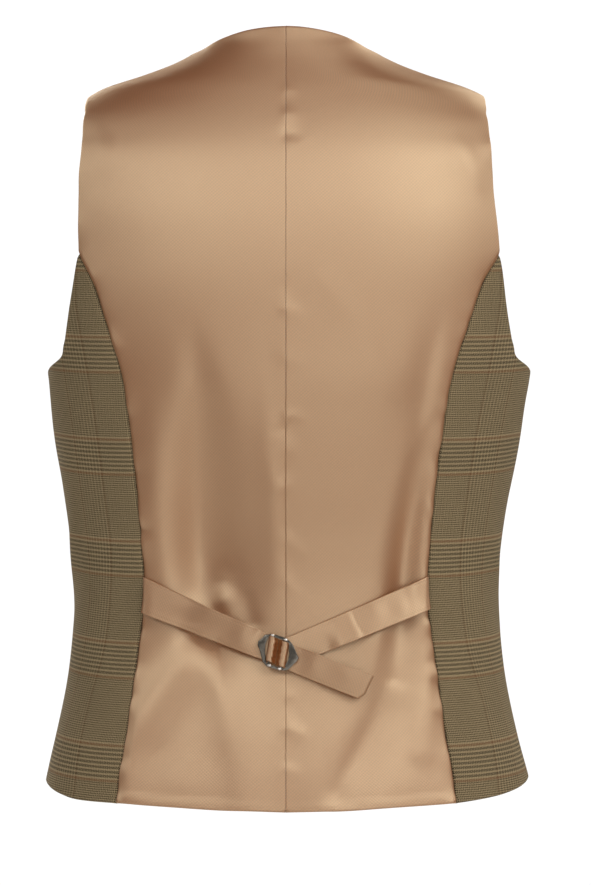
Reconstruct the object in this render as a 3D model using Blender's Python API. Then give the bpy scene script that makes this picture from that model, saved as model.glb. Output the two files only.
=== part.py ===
"""A suit waistcoat as it hangs on a wearer, hollow inside.

Metres, +Z up. The fronts face -Y and the back faces +Y; the wearer's left is +X. The origin lies
midway between the shoulder seams, where the wearer's shoulders carry the cloth.

Every piece of cloth is a closed wall. Its outline is drawn in two coordinates of the body form,
the turn round the body from the centre back and the height, and is then laid on that form.
"""

import math
from collections import namedtuple

import bmesh
import bpy
from mathutils import Matrix, Vector
from mathutils.geometry import delaunay_2d_cdt, intersect_point_line

# Cloth and sewing
CLOTH_WALL = 0.0020
STRAP_WALL = 0.0012
SEAM_GAP = 0.0003
SIDE_SEAM_GAP = 0.0004
EDGE_STEP = 0.0150
BACK_STEP = 0.0145
FRONT_STEP = 0.0190
STRAP_STEP = 0.0070

# The body form: flattened ovals, one row for each height; both sides sway a little to one side
SQUARENESS = 2.3
Ring = namedtuple("Ring", "height half_width back_depth front_depth sway")
RINGS = (
    Ring(0.0600, 0.0500, 0.050, 0.030, 0.0),
    Ring(0.0370, 0.0590, 0.060, 0.036, 0.0),
    Ring(0.0168, 0.0665, 0.068, 0.045, 0.0),
    Ring(0.0080, 0.0825, 0.072, 0.051, 0.0),
    Ring(-0.0007, 0.1055, 0.077, 0.057, 0.0),
    Ring(-0.0095, 0.1325, 0.082, 0.063, 0.0),
    Ring(-0.0200, 0.1510, 0.087, 0.070, 0.0),
    Ring(-0.0500, 0.1715, 0.099, 0.085, 0.0),
    Ring(-0.0900, 0.1775, 0.109, 0.100, -0.0006),
    Ring(-0.1300, 0.1790, 0.115, 0.112, -0.0030),
    Ring(-0.1700, 0.1782, 0.118, 0.121, -0.0022),
    Ring(-0.2175, 0.1756, 0.117, 0.125, -0.0024),
    Ring(-0.2500, 0.1704, 0.112, 0.124, -0.0014),
    Ring(-0.2940, 0.1637, 0.104, 0.121, -0.0004),
    Ring(-0.3380, 0.1572, 0.096, 0.117, 0.0),
    Ring(-0.3750, 0.1538, 0.092, 0.114, 0.0),
    Ring(-0.4050, 0.1558, 0.093, 0.114, -0.0003),
    Ring(-0.4365, 0.1594, 0.097, 0.115, -0.0004),
    Ring(-0.4800, 0.1683, 0.107, 0.118, -0.0005),
    Ring(-0.5130, 0.1765, 0.115, 0.121, -0.0008),
    Ring(-0.5500, 0.1840, 0.123, 0.124, -0.0008),
)

# Outlines, by distance from the centre plane and height
Mark = namedtuple("Mark", "across height")
SIDE_SEAM = (
    Mark(0.1210, -0.5230),
    Mark(0.1190, -0.5020),
    Mark(0.1149, -0.4800),
    Mark(0.1108, -0.4500),
    Mark(0.1062, -0.4160),
    Mark(0.1014, -0.3800),
    Mark(0.1030, -0.3450),
    Mark(0.1070, -0.2970),
    Mark(0.1128, -0.2490),
    Mark(0.1160, -0.2280),
    Mark(0.1215, -0.2060),
    Mark(0.1294, -0.1830),
    Mark(0.1376, -0.1585),
    Mark(0.1425, -0.1475),
    Mark(0.1510, -0.1325),
)
BACK_ARMHOLE = (
    Mark(0.1506, -0.1220),
    Mark(0.1497, -0.1000),
    Mark(0.1488, -0.0790),
    Mark(0.1473, -0.0570),
    Mark(0.1459, -0.0350),
    Mark(0.1450, -0.0255),
    Mark(0.1445, -0.0205),
    Mark(0.1434, -0.0160),
)
UNDERARM_BACK = (
    Mark(0.1533, -0.1435),
    Mark(0.1563, -0.1650),
    Mark(0.1594, -0.1860),
    Mark(0.1617, -0.1970),
    Mark(0.1662, -0.2075),
)
BACK_NECK = (
    Mark(0.0620, 0.0170),
    Mark(0.0520, 0.0217),
    Mark(0.0420, 0.0255),
    Mark(0.0260, 0.0292),
    Mark(0.0113, 0.0312),
)
FRONT_NECK = (
    Mark(0.0706, 0.0138),
    Mark(0.0702, 0.0122),
    Mark(0.0697, 0.0085),
    Mark(0.0692, 0.0020),
    Mark(0.0685, -0.0080),
    Mark(0.0673, -0.0250),
    Mark(0.0645, -0.0500),
    Mark(0.0570, -0.0900),
    Mark(0.0465, -0.1300),
    Mark(0.0330, -0.1700),
    Mark(0.0170, -0.2050),
    Mark(0.0000, -0.2330),
)

# Outlines, by the turn from the centre back in degrees and height
Turn = namedtuple("Turn", "degrees height")
BACK_HEM = (Turn(0.0, -0.5272), Turn(13.0, -0.5266), Turn(27.0, -0.5245))
FRONT_HEM = (
    Turn(54.0, -0.5195),
    Turn(63.0, -0.5165),
    Turn(78.0, -0.5115),
    Turn(90.0, -0.5100),
    Turn(106.0, -0.5115),
    Turn(125.0, -0.5180),
    Turn(145.0, -0.5300),
)
FRONT_POINT = Turn(160.0, -0.5400)
LEFT_HEM_DROP = 0.0024
FRONT_ARMHOLE = (
    Turn(90.0, -0.2175),
    Turn(98.0, -0.2190),
    Turn(107.0, -0.2120),
    Turn(116.0, -0.1950),
    Turn(125.0, -0.1650),
    Turn(130.5, -0.1280),
    Turn(131.5, -0.0900),
    Turn(129.0, -0.0580),
    Turn(123.0, -0.0370),
    Turn(112.0, -0.0225),
)
SHOULDER_TIP_HEIGHT = -0.0132
NECK_POINT_HEIGHT = 0.0145
NECK_CENTRE_HEIGHT = 0.0317

# How the fronts close
LAP = 0.010
LAP_LIFT = 0.0028
LAP_LIFT_FROM, LAP_LIFT_TO = 0.065, 0.030
NECK_END_HEIGHT = -0.2450
FRONT_EDGE_END_HEIGHT = -0.5060

# The largest folds of the back, each along a line of marks; a trough has a negative rise
Fold = namedtuple("Fold", "name rise half_width line")
FOLDS = (
    Fold("left_trough", -0.0040, 0.016, (Mark(0.058, -0.225), Mark(0.063, -0.300), Mark(0.064, -0.372))),
    Fold("left_crest", 0.0022, 0.020, (Mark(0.046, -0.215), Mark(0.029, -0.275), Mark(0.019, -0.325),
                                       Mark(0.016, -0.362))),
    Fold("left_seam_crest", 0.0018, 0.010, (Mark(0.082, -0.290), Mark(0.077, -0.330), Mark(0.073, -0.368))),
    Fold("right_trough", -0.0030, 0.009, (Mark(-0.104, -0.200), Mark(-0.095, -0.265), Mark(-0.081, -0.300),
                                          Mark(-0.076, -0.370))),
    Fold("right_crest", 0.0020, 0.013, (Mark(-0.091, -0.310), Mark(-0.088, -0.362))),
    Fold("low_left_crest", 0.0026, 0.014, (Mark(0.064, -0.415), Mark(0.068, -0.500))),
    Fold("low_left_trough", -0.0028, 0.013, (Mark(0.045, -0.430), Mark(0.033, -0.500))),
    Fold("low_right_trough", -0.0024, 0.014, (Mark(-0.070, -0.400), Mark(-0.058, -0.500))),
    Fold("low_right_crest", 0.0020, 0.014, (Mark(-0.094, -0.410), Mark(-0.096, -0.490))),
)
FOLD_FADE = 0.035
SEAM_CALM = 0.014

# The cinch: straps along sloping lines, and the buckle they meet in
STRAP_SLOPE = math.radians(22.9)
LEFT_STRAP_START = Mark(0.1012, -0.3757)
RIGHT_STRAP_START = Mark(-0.1026, -0.3735)
BUCKLE_CENTRE = Mark(0.0058, -0.4160)
STRAP_CLEARANCE = 0.0009
STRAP_ABOVE_STRAP = 0.0027
LEFT_STRAP_HALF_WIDTHS = (0.0120, 0.0091)
RIGHT_STRAP_HALF_WIDTHS = (0.0108, 0.0102)
IN_BUCKLE_HALF_WIDTH = 0.0073
TAIL_LENGTH = 0.0680
RIGHT_STRAP_LENGTH = 0.1125
STRAP_END_INSET = 0.0008
BUCKLE_SHEAR = 0.245
BAR_PLACES = (-0.0050, 0.0041)
BAR_HALF_WIDTH = 0.0007
BUCKLE_WALL = 0.0012
BUCKLE_LIFT = 0.0045
LOOP_RADIUS = 0.0017
LOOP_FILLET = 0.0008
LOOP_TOP = 0.0069
LOOP_SPREAD = 0.0140
PLATE_REACH = 0.0045
STRAP_RISE = 0.0400
STRAP_COLUMNS = 4
SLANT_REACH = 0.0400
SQUEEZE_FROM, SQUEEZE_TO = 0.016, 0.009
SHEAR_FROM, SHEAR_TO = 0.024, 0.010

# The buckle's frame from its centre, across and up; its hole is crossed by two bars
BUCKLE_OUTLINE = (
    (0.0035, 0.0129), (0.0088, 0.0123), (0.0107, 0.0100), (0.0137, 0.0078), (0.0141, 0.0049),
    (0.0123, 0.0003), (0.0107, -0.0068), (0.0098, -0.0079), (0.0069, -0.0108), (0.0052, -0.0110),
    (-0.0016, -0.0133), (-0.0070, -0.0130), (-0.0097, -0.0106), (-0.0138, -0.0065),
    (-0.0150, -0.0041), (-0.0132, -0.0003), (-0.0110, 0.0051), (-0.0091, 0.0073), (-0.0059, 0.0100),
)
BUCKLE_TOP_INNER = ((0.0030, 0.0107), (-0.0062, 0.0077))
BUCKLE_BOTTOM_INNER = ((0.0060, -0.0087), (-0.0012, -0.0111))
LEFT_PLATE_INNER = (
    (0.0067, 0.0102), (0.0085, 0.0055), (0.0089, 0.0002), (0.0085, -0.0047), (0.0078, -0.0078),
)
RIGHT_PLATE_INNER = ((-0.0078, 0.0062), (-0.0084, -0.0015), (-0.0076, -0.0053), (-0.0052, -0.0100))

# Buttons down the centre front
BUTTON_HEIGHTS = (-0.2580, -0.3160, -0.3740, -0.4320, -0.4900)
BUTTON_RADIUS = 0.0075
BUTTON_WALL = 0.0026
BUTTON_RIM = 0.0014
BUTTON_DISH = 0.0006
BUTTON_TAPER = 0.0012
BUTTON_TAPER_TOP = 0.0012
BUTTON_HOLE_RADIUS = 0.0009
BUTTON_HOLE_SPREAD = 0.0017
BUTTON_CLEARANCE = 0.0004

# Colours of the finished stuff: red, green and blue in linear light, roughness, metallic
SATIN = ((0.42, 0.25, 0.14), 0.35, 0.0)
WOOL = ((0.11, 0.085, 0.05), 0.9, 0.0)
GUNMETAL = ((0.10, 0.09, 0.08), 0.35, 0.9)
HORN = ((0.05, 0.035, 0.022), 0.4, 0.0)


def hermite(start, end, start_slope, end_slope, t):
    return (
        (2 * t**3 - 3 * t**2 + 1) * start
        + (t**3 - 2 * t**2 + t) * start_slope
        + (3 * t**2 - 2 * t**3) * end
        + (t**3 - t**2) * end_slope
    )


def smoothstep(low, high, value):
    t = min(max((value - low) / (high - low), 0.0), 1.0)
    return t * t * (3 - 2 * t)


def read_table(keys, values, at):
    """A smooth reading of values at a place between rising keys."""
    last = len(keys) - 1
    i = max(k for k in range(last) if keys[k] <= at or k == 0)
    slopes = [(values[k + 1] - values[k]) / (keys[k + 1] - keys[k]) for k in range(last)]

    def slope_at(k):
        if k == 0 or k == last:
            return slopes[min(k, last - 1)]
        before, after = keys[k] - keys[k - 1], keys[k + 1] - keys[k]
        return (slopes[k - 1] * after + slopes[k] * before) / (before + after)

    span = keys[i + 1] - keys[i]
    t = (at - keys[i]) / span
    return hermite(values[i], values[i + 1], slope_at(i) * span, slope_at(i + 1) * span, t)


RISING_RINGS = sorted(RINGS)
RING_HEIGHTS = [ring.height for ring in RISING_RINGS]
RING_COLUMNS = list(zip(*RISING_RINGS))


def ring_at(height):
    """The oval's half width, back depth, front depth and sway at a height."""
    return [read_table(RING_HEIGHTS, column, height) for column in RING_COLUMNS[1:]]


def form_point(turn, height):
    """The body form at a turn, in radians from the centre back towards +X, and a height."""
    half_width, back_depth, front_depth, sway = ring_at(height)
    sine, cosine = math.sin(turn), math.cos(turn)
    oval = (abs(sine) ** SQUARENESS + abs(cosine) ** SQUARENESS) ** (1 / SQUARENESS)
    depth = back_depth if cosine > 0 else front_depth
    share = sine / oval
    return Vector((half_width * share + sway * share**2, depth * cosine / oval, height))


def form_tangents(turn, height, step=1e-4):
    round_body = form_point(turn + step, height) - form_point(turn - step, height)
    up_body = form_point(turn, height + step) - form_point(turn, height - step)
    return round_body / (2 * step), up_body / (2 * step)


def form_normal(turn, height):
    round_body, up_body = form_tangents(turn, height)
    return up_body.cross(round_body).normalized()


def back_turn(across, height):
    """The turn at which the back half of the form lies this far across."""
    share = min(abs(across) / ring_at(height)[0], 1.0)
    depth = (1 - share**SQUARENESS) ** (1 / SQUARENESS)
    return math.copysign(math.atan2(share, depth), across)


def front_turn(across, height):
    return math.copysign(math.pi - abs(back_turn(across, height)), across)


# The drawing plane: the turn stretched to metres of cloth, and the height, stretched over the
# shoulders, where the form lies nearly flat
TURN_RADIUS = 0.14
SHOULDER_HEIGHT = -0.030
SHOULDER_STRETCH = 2.4

# How finely shapes are worked out
CURVE_PIECES = 12
EDGE_CLEARANCE = 0.45
SEAM_SEARCH_STEPS = 8
SHARP_ANGLE = math.radians(40)


def drawn(turn, height):
    above = max(height - SHOULDER_HEIGHT, 0.0)
    return Vector((turn * TURN_RADIUS, height + (SHOULDER_STRETCH - 1) * above))


def undrawn(point):
    above = max(point.y - SHOULDER_HEIGHT, 0.0)
    return point.x / TURN_RADIUS, point.y - above * (1 - 1 / SHOULDER_STRETCH)


def drawn_back(mark):
    return drawn(back_turn(mark.across, mark.height), mark.height)


def drawn_front(mark):
    return drawn(front_turn(mark.across, mark.height), mark.height)


def drawn_turn(row):
    return drawn(math.radians(row.degrees), row.height)


def curve_through(points, step):
    """Even points along a smooth curve through the given ones, both ends included."""
    ends = [2 * points[0] - points[1], *points, 2 * points[-1] - points[-2]]
    fine = []
    for i in range(1, len(ends) - 2):
        before, here, there, after = ends[i - 1 : i + 3]
        for k in range(CURVE_PIECES):
            share = k / CURVE_PIECES
            fine.append(hermite(here, there, (there - before) / 2, (after - here) / 2, share))
    fine.append(points[-1])
    lengths = [0.0]
    for start, end in zip(fine, fine[1:]):
        lengths.append(lengths[-1] + (end - start).length)
    pieces = max(1, round(lengths[-1] / step))
    even, i = [fine[0]], 0
    for piece in range(1, pieces):
        wanted = lengths[-1] * piece / pieces
        while lengths[i + 1] < wanted:
            i += 1
        even.append(fine[i].lerp(fine[i + 1], (wanted - lengths[i]) / (lengths[i + 1] - lengths[i])))
    return [*even, fine[-1]]


def chained(*curves):
    """One loop from curves whose ends meet, without the doubled corners."""
    return [point for curve in curves for point in curve[:-1]]


def moved_round(curve, distance):
    """The curve moved round the body by a distance on the cloth."""
    moved = []
    for point in curve:
        round_body, _ = form_tangents(*undrawn(point))
        moved.append(point + Vector((distance * TURN_RADIUS / round_body.length, 0.0)))
    return moved


def side_seam_across(height):
    """How far across the side seam lies at a height; past its ends, where it lies at them."""
    inside = min(max(height, SIDE_SEAM[0].height), SIDE_SEAM[-1].height)
    return read_table([mark.height for mark in SIDE_SEAM], [mark.across for mark in SIDE_SEAM], inside)


def fold_rise(across, height):
    """How far the folds of the back stand off the form."""
    rise = 0.0
    for fold in FOLDS:
        top, bottom = fold.line[0].height, fold.line[-1].height
        if not bottom - FOLD_FADE < height < top + FOLD_FADE:
            continue
        rising = fold.line[::-1]
        heights = [mark.height for mark in rising]
        inside = min(max(height, bottom), top)
        middle = read_table(heights, [mark.across for mark in rising], inside)
        fade = smoothstep(top + FOLD_FADE, top, height) * smoothstep(bottom - FOLD_FADE, bottom, height)
        rise += fold.rise * fade * math.exp(-(((across - middle) / fold.half_width) ** 2))
    return rise * smoothstep(0.0, SEAM_CALM, side_seam_across(height) - abs(across))


def back_place(turn, height, rise):
    """A point of the back's cloth, rise above its outer face."""
    point = form_point(turn, height)
    return point + form_normal(turn, height) * (fold_rise(point.x, height) + rise)


def strap_place(turn, height, rise):
    """A point of a strap, which is taut and so spans the troughs of the cloth under it."""
    point = form_point(turn, height)
    return point + form_normal(turn, height) * (max(fold_rise(point.x, height), 0.0) + rise)


def front_place(turn, height, rise):
    """A point of a front's cloth; the left front is lifted where it laps over the right one."""
    point = form_point(turn, height)
    laps = turn > math.pi / 2
    lift = LAP_LIFT * smoothstep(LAP_LIFT_FROM, LAP_LIFT_TO, point.x) if laps else 0.0
    return point + form_normal(turn, height) * (lift + rise)


def inside_outline(point, outline):
    inside = False
    for start, end in zip(outline, [*outline[1:], outline[0]]):
        if (start.y > point.y) != (end.y > point.y):
            crossing = start.x + (point.y - start.y) / (end.y - start.y) * (end.x - start.x)
            inside = inside != (crossing > point.x)
    return inside


def outline_distance(point, outline):
    nearest = math.inf
    for start, end in zip(outline, [*outline[1:], outline[0]]):
        foot, share = intersect_point_line(point, start, end)
        foot = start.lerp(end, min(max(share, 0.0), 1.0))
        nearest = min(nearest, (foot.xy - point).length)
    return nearest


def lattice_inside(outline, step):
    """Staggered points that fill the outline, clear of its edge."""
    row_step = step * math.sqrt(3) / 2
    low_x, high_x = min(p.x for p in outline), max(p.x for p in outline)
    low_y, high_y = min(p.y for p in outline), max(p.y for p in outline)
    points = []
    for row in range(int((high_y - low_y) / row_step) + 1):
        for column in range(int((high_x - low_x) / step) + 2):
            point = Vector((low_x + (column - row % 2 / 2) * step, low_y + row * row_step))
            clear = outline_distance(point, outline) > EDGE_CLEARANCE * step
            if clear and inside_outline(point, outline):
                points.append(point)
    return points


def make_object(name, mesh, material):
    mesh.materials.append(material)
    mesh.shade_smooth()
    mesh.set_sharp_from_angle(angle=SHARP_ANGLE)
    thing = bpy.data.objects.new(name, mesh)
    bpy.context.scene.collection.objects.link(thing)
    return thing


def wall_mesh(name, outer, inner, triangles):
    """A closed wall: an outer face, an inner one turned round, and a rim along the open edges."""
    shift = len(outer)
    faces = [tuple(face) for face in triangles]
    faces += [tuple(corner + shift for corner in reversed(face)) for face in triangles]
    edges = {(face[i], face[(i + 1) % 3]) for face in triangles for i in range(3)}
    faces += [(b, a, a + shift, b + shift) for a, b in edges if (b, a) not in edges]
    mesh = bpy.data.meshes.new(name)
    mesh.from_pydata([*outer, *inner], [], faces)
    mesh.validate()
    return mesh


def cut_panel(name, outline, step, side, place, material):
    """A panel of cloth with this outline, drawn for the +X side and mirrored for the other."""
    points = [*outline, *lattice_inside(outline, step)]
    found = delaunay_2d_cdt(points, [], [list(range(len(outline)))], 1, 1e-7)
    spots = [undrawn(point) for point in found[0]]
    outer = [place(side * turn, height, 0.0) for turn, height in spots]
    inner = [place(side * turn, height, -CLOTH_WALL) for turn, height in spots]
    triangles = [face[::-side] for face in found[2]]
    return make_object(name, wall_mesh(name, outer, inner, triangles), material)


def side_seam_curve():
    return curve_through([drawn_back(mark) for mark in SIDE_SEAM], EDGE_STEP)


def shoulder_seam_curve():
    ends = [drawn(math.pi / 2, height) for height in (SHOULDER_TIP_HEIGHT, NECK_POINT_HEIGHT)]
    return curve_through(ends, EDGE_STEP)


def back_outline():
    half_gap = SEAM_GAP / 2
    seam = moved_round(side_seam_curve(), -SIDE_SEAM_GAP / 2)
    shoulder = moved_round(shoulder_seam_curve(), -half_gap)
    centre = [drawn(0.0, height) for height in (NECK_CENTRE_HEIGHT, BACK_HEM[0].height)]
    centre = moved_round(curve_through(centre, EDGE_STEP), half_gap)
    hem = curve_through([centre[-1], *map(drawn_turn, BACK_HEM[1:]), seam[0]], EDGE_STEP)
    armhole = curve_through([seam[-1], *map(drawn_back, BACK_ARMHOLE), shoulder[0]], EDGE_STEP)
    neck = curve_through([shoulder[-1], *map(drawn_back, BACK_NECK), centre[0]], EDGE_STEP)
    return chained(hem, seam, armhole, shoulder, neck, centre)


def front_outline(hem_drop):
    seam = moved_round(side_seam_curve(), SIDE_SEAM_GAP / 2)
    shoulder = moved_round(shoulder_seam_curve(), SEAM_GAP / 2)
    armhole_marks = [*map(drawn_back, UNDERARM_BACK), *map(drawn_turn, FRONT_ARMHOLE)]
    armhole = curve_through([seam[-1], *armhole_marks, shoulder[0]], EDGE_STEP)
    neck_end = drawn_front_edge(NECK_END_HEIGHT)
    neck = curve_through([shoulder[-1], *map(drawn_front, FRONT_NECK), neck_end], EDGE_STEP)
    edge_end = drawn_front_edge(FRONT_EDGE_END_HEIGHT)
    edge = curve_through([neck_end, edge_end], EDGE_STEP)
    point = drawn_turn(FRONT_POINT)
    cutaway = curve_through([edge_end, point], EDGE_STEP)
    hem_marks = [drawn_turn(Turn(row.degrees, row.height - hem_drop)) for row in reversed(FRONT_HEM)]
    hem = curve_through([point, *hem_marks, seam[0]], EDGE_STEP)
    return chained(seam, armhole, shoulder, neck, edge, cutaway, hem)


def drawn_front_edge(height):
    """The front edge, which runs past the centre by the lap."""
    return drawn(math.pi + back_turn(LAP, height), height)


def strap_spot(start, direction, along, across):
    """Where a strap's own length and breadth fall, as a turn and a height on the back."""
    run = Vector((direction * math.cos(STRAP_SLOPE), -math.sin(STRAP_SLOPE)))
    breadth = Vector((-direction * run.y, direction * run.x))
    place = Vector(start) + along * run + across * breadth
    return back_turn(place.x, place.y), place.y


def strap_mesh(name, start, direction, path, half_width, end_cut):
    """A strap's wall: a path of lengths and lifts, given its thickness, across its breadth."""
    columns = STRAP_COLUMNS
    rows = []
    for i, (along, lift) in enumerate(path):
        before, after = path[max(i - 1, 0)], path[min(i + 1, len(path) - 1)]
        normal = Vector((before[1] - after[1], after[0] - before[0])).normalized() * STRAP_WALL / 2
        rows.append(((along - normal.x, lift - normal.y), (along + normal.x, lift + normal.y)))
    layers = []
    for face in (1, 0):
        points = []
        for row in rows:
            along, lift = row[face]
            for k in range(columns + 1):
                across = (2 * k / columns - 1) * half_width(along)
                turn, height = strap_spot(start, direction, end_cut(along, across), across)
                points.append(strap_place(turn, height, lift))
        layers.append(points)
    triangles = []
    for i in range(len(rows) - 1):
        for k in range(columns):
            a = i * (columns + 1) + k
            b = a + columns + 1
            triangles += [(a, b, b + 1), (a, b + 1, a + 1)]
    return wall_mesh(name, *layers, [face[::-direction] for face in triangles])


def seam_start(start, direction, across):
    """How far the side seam lies along a strap's line, at this place across the strap."""
    along = 0.0
    for _ in range(SEAM_SEARCH_STEPS):
        turn, height = strap_spot(start, direction, along, across)
        along += abs(form_point(turn, height).x) - (side_seam_across(height) - STRAP_END_INSET)
    return along


def started_at_seam(start, direction):
    """Slants a strap's first stretch so that its end follows the side seam."""

    def cut(along, across):
        return along + seam_start(start, direction, across) * smoothstep(SLANT_REACH, 0.0, along)

    return cut


def loop_over(bar):
    """The strap's way up, over one bar of the buckle and down again."""
    floor = STRAP_ABOVE_STRAP + STRAP_WALL / 2
    foot = LOOP_RADIUS + LOOP_FILLET
    turned = LOOP_FILLET * math.sqrt(0.5)
    rise = [
        (-foot, floor),
        (-foot + turned, floor + LOOP_FILLET - turned),
        (-LOOP_RADIUS, floor + LOOP_FILLET),
    ]
    crown = [
        (-LOOP_RADIUS * math.cos(angle), LOOP_TOP + LOOP_RADIUS * (math.sin(angle) - 1))
        for angle in (math.pi * k / 6 for k in range(7))
    ]
    fall = [(-along, lift) for along, lift in reversed(rise)]
    return [(bar + along, lift) for along, lift in (*rise, *crown, *fall)]


def left_strap_path(run):
    """From the side seam under the left plate, over both bars, and on as the tail."""
    low = STRAP_CLEARANCE + STRAP_WALL / 2
    high = STRAP_ABOVE_STRAP + STRAP_WALL / 2
    lengths = []
    for start, end in ((0.0, run + BAR_PLACES[0] - PLATE_REACH),
                       (run + BAR_PLACES[1] + PLATE_REACH, run + TAIL_LENGTH)):
        pieces = round((end - start) / STRAP_STEP)
        lengths.append([start + (end - start) * i / pieces for i in range(pieces + 1)])
    before = [(along, low + (high - low) * smoothstep(run - STRAP_RISE, run - LOOP_SPREAD, along))
              for along in lengths[0]]
    after = [(along, high) for along in lengths[1]]
    loops = [*loop_over(run + BAR_PLACES[0]), *loop_over(run + BAR_PLACES[1])]
    return [*before, *loops, *after]


def left_strap(material):
    run = (LEFT_STRAP_START.across - BUCKLE_CENTRE.across) / math.cos(STRAP_SLOPE)
    to_seam = started_at_seam(LEFT_STRAP_START, -1)

    def half_width(along):
        wide, narrow = LEFT_STRAP_HALF_WIDTHS
        tapered = wide + (narrow - wide) * min(max(along / run, 0.0), 1.0)
        squeeze = smoothstep(SQUEEZE_FROM, SQUEEZE_TO, abs(along - run))
        return tapered + (IN_BUCKLE_HALF_WIDTH - tapered) * squeeze

    def slanted(along, across):
        shear = BUCKLE_SHEAR * smoothstep(SHEAR_FROM, SHEAR_TO, abs(along - run))
        return to_seam(along, across) - shear * across

    path = left_strap_path(run)
    mesh = strap_mesh("strap_left", LEFT_STRAP_START, -1, path, half_width, slanted)
    return make_object("strap_left", mesh, material)


def right_strap(material):
    to_seam = started_at_seam(RIGHT_STRAP_START, 1)
    pieces = round(RIGHT_STRAP_LENGTH / STRAP_STEP)
    lift = STRAP_CLEARANCE + STRAP_WALL / 2
    path = [(RIGHT_STRAP_LENGTH * i / pieces, lift) for i in range(pieces + 1)]

    def half_width(along):
        wide, narrow = RIGHT_STRAP_HALF_WIDTHS
        return wide + (narrow - wide) * min(max(along / RIGHT_STRAP_LENGTH, 0.0), 1.0)

    mesh = strap_mesh("strap_right", RIGHT_STRAP_START, 1, path, half_width, to_seam)
    return make_object("strap_right", mesh, material)


def frame_on_form(turn, height, lift, place):
    """A placing whose Z leaves the cloth squarely and whose X runs level."""
    normal = form_normal(turn, height)
    level = Vector((0.0, 0.0, 1.0)).cross(normal).normalized()
    axes = Matrix((level, normal.cross(level), normal)).transposed().to_4x4()
    return Matrix.Translation(place(turn, height, lift)) @ axes


def add_outline(curve, points):
    spline = curve.splines.new("POLY")
    spline.points.add(len(points) - 1)
    for point, (across, up) in zip(spline.points, points):
        point.co = (-across, up, 0.0, 1.0)
    spline.use_cyclic_u = True


def bar_edge(bar, side_of_bar):
    """The top and bottom of one edge of a bar, on the inner edges of the frame."""
    cosine, sine = math.cos(STRAP_SLOPE), math.sin(STRAP_SLOPE)
    slant = (sine - BUCKLE_SHEAR * cosine) / (cosine + BUCKLE_SHEAR * sine)
    place = bar + side_of_bar * BAR_HALF_WIDTH
    ends = []
    for left, right in (BUCKLE_TOP_INNER, BUCKLE_BOTTOM_INNER):
        up = (left[1] + right[1]) / 2
        across = -place * cosine - slant * (up + place * sine)
        share = (across - left[0]) / (right[0] - left[0])
        ends.append((across, left[1] + (right[1] - left[1]) * share))
    return ends


def buckle(material):
    """A flat frame with two plates and two upright bars, set on the strap."""
    curve = bpy.data.curves.new("buckle", "CURVE")
    curve.dimensions = "2D"
    curve.fill_mode = "BOTH"
    curve.extrude = BUCKLE_WALL / 2
    add_outline(curve, BUCKLE_OUTLINE)
    left_bar, right_bar = BAR_PLACES
    slot_edge = bar_edge(left_bar, -1)
    add_outline(curve, [*LEFT_PLATE_INNER, slot_edge[1], slot_edge[0]])
    add_outline(curve, [*bar_edge(left_bar, 1), *reversed(bar_edge(right_bar, -1))])
    slot_edge = bar_edge(right_bar, 1)
    add_outline(curve, [*RIGHT_PLATE_INNER, slot_edge[1], slot_edge[0]])
    curve.materials.append(material)
    thing = bpy.data.objects.new("buckle", curve)
    turn = back_turn(BUCKLE_CENTRE.across, BUCKLE_CENTRE.height)
    lift = BUCKLE_LIFT + BUCKLE_WALL / 2
    thing.matrix_world = frame_on_form(turn, BUCKLE_CENTRE.height, lift, strap_place)
    bpy.context.scene.collection.objects.link(thing)
    return thing


def button_mesh():
    """A turned button with a raised rim, pierced by four thread holes."""
    profile = (
        (0.0, 0.0),
        (BUTTON_RADIUS - BUTTON_TAPER, 0.0),
        (BUTTON_RADIUS, BUTTON_TAPER_TOP),
        (BUTTON_RADIUS - BUTTON_RIM / 2, BUTTON_WALL),
        (BUTTON_RADIUS - BUTTON_RIM, BUTTON_WALL),
        (BUTTON_RADIUS - 2 * BUTTON_RIM, BUTTON_WALL - BUTTON_DISH),
        (0.0, BUTTON_WALL - BUTTON_DISH),
    )
    form = bmesh.new()
    verts = [form.verts.new((radius, 0.0, up)) for radius, up in profile]
    edges = [form.edges.new(pair) for pair in zip(verts, verts[1:])]
    bmesh.ops.spin(form, geom=[*verts, *edges], cent=(0, 0, 0), axis=(0, 0, 1),
                   angle=math.tau, steps=16, use_merge=True)
    bmesh.ops.remove_doubles(form, verts=form.verts, dist=1e-6)
    bmesh.ops.recalc_face_normals(form, faces=form.faces)
    disc = bpy.data.meshes.new("button_disc")
    form.to_mesh(disc)
    form.free()
    blank = bpy.data.objects.new("button_blank", disc)
    bpy.context.scene.collection.objects.link(blank)
    cutters = []
    for k in range(4):
        angle = math.tau * (k + 0.5) / 4
        spot = Matrix.Translation((BUTTON_HOLE_SPREAD * math.cos(angle),
                                   BUTTON_HOLE_SPREAD * math.sin(angle), BUTTON_WALL / 2))
        hole = bmesh.new()
        bmesh.ops.create_cone(hole, cap_ends=True, segments=6, radius1=BUTTON_HOLE_RADIUS,
                              radius2=BUTTON_HOLE_RADIUS, depth=3 * BUTTON_WALL, matrix=spot)
        drill = bpy.data.meshes.new("drill")
        hole.to_mesh(drill)
        hole.free()
        cutter = bpy.data.objects.new("drill", drill)
        bpy.context.scene.collection.objects.link(cutter)
        cut = blank.modifiers.new("hole", "BOOLEAN")
        cut.operation = "DIFFERENCE"
        cut.object = cutter
        cutters.append(cutter)
    bpy.context.view_layer.update()
    graph = bpy.context.evaluated_depsgraph_get()
    pierced = bpy.data.meshes.new_from_object(blank.evaluated_get(graph))
    for helper in [blank, *cutters]:
        bpy.data.objects.remove(helper)
    pierced.name = "button"
    return pierced


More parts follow.
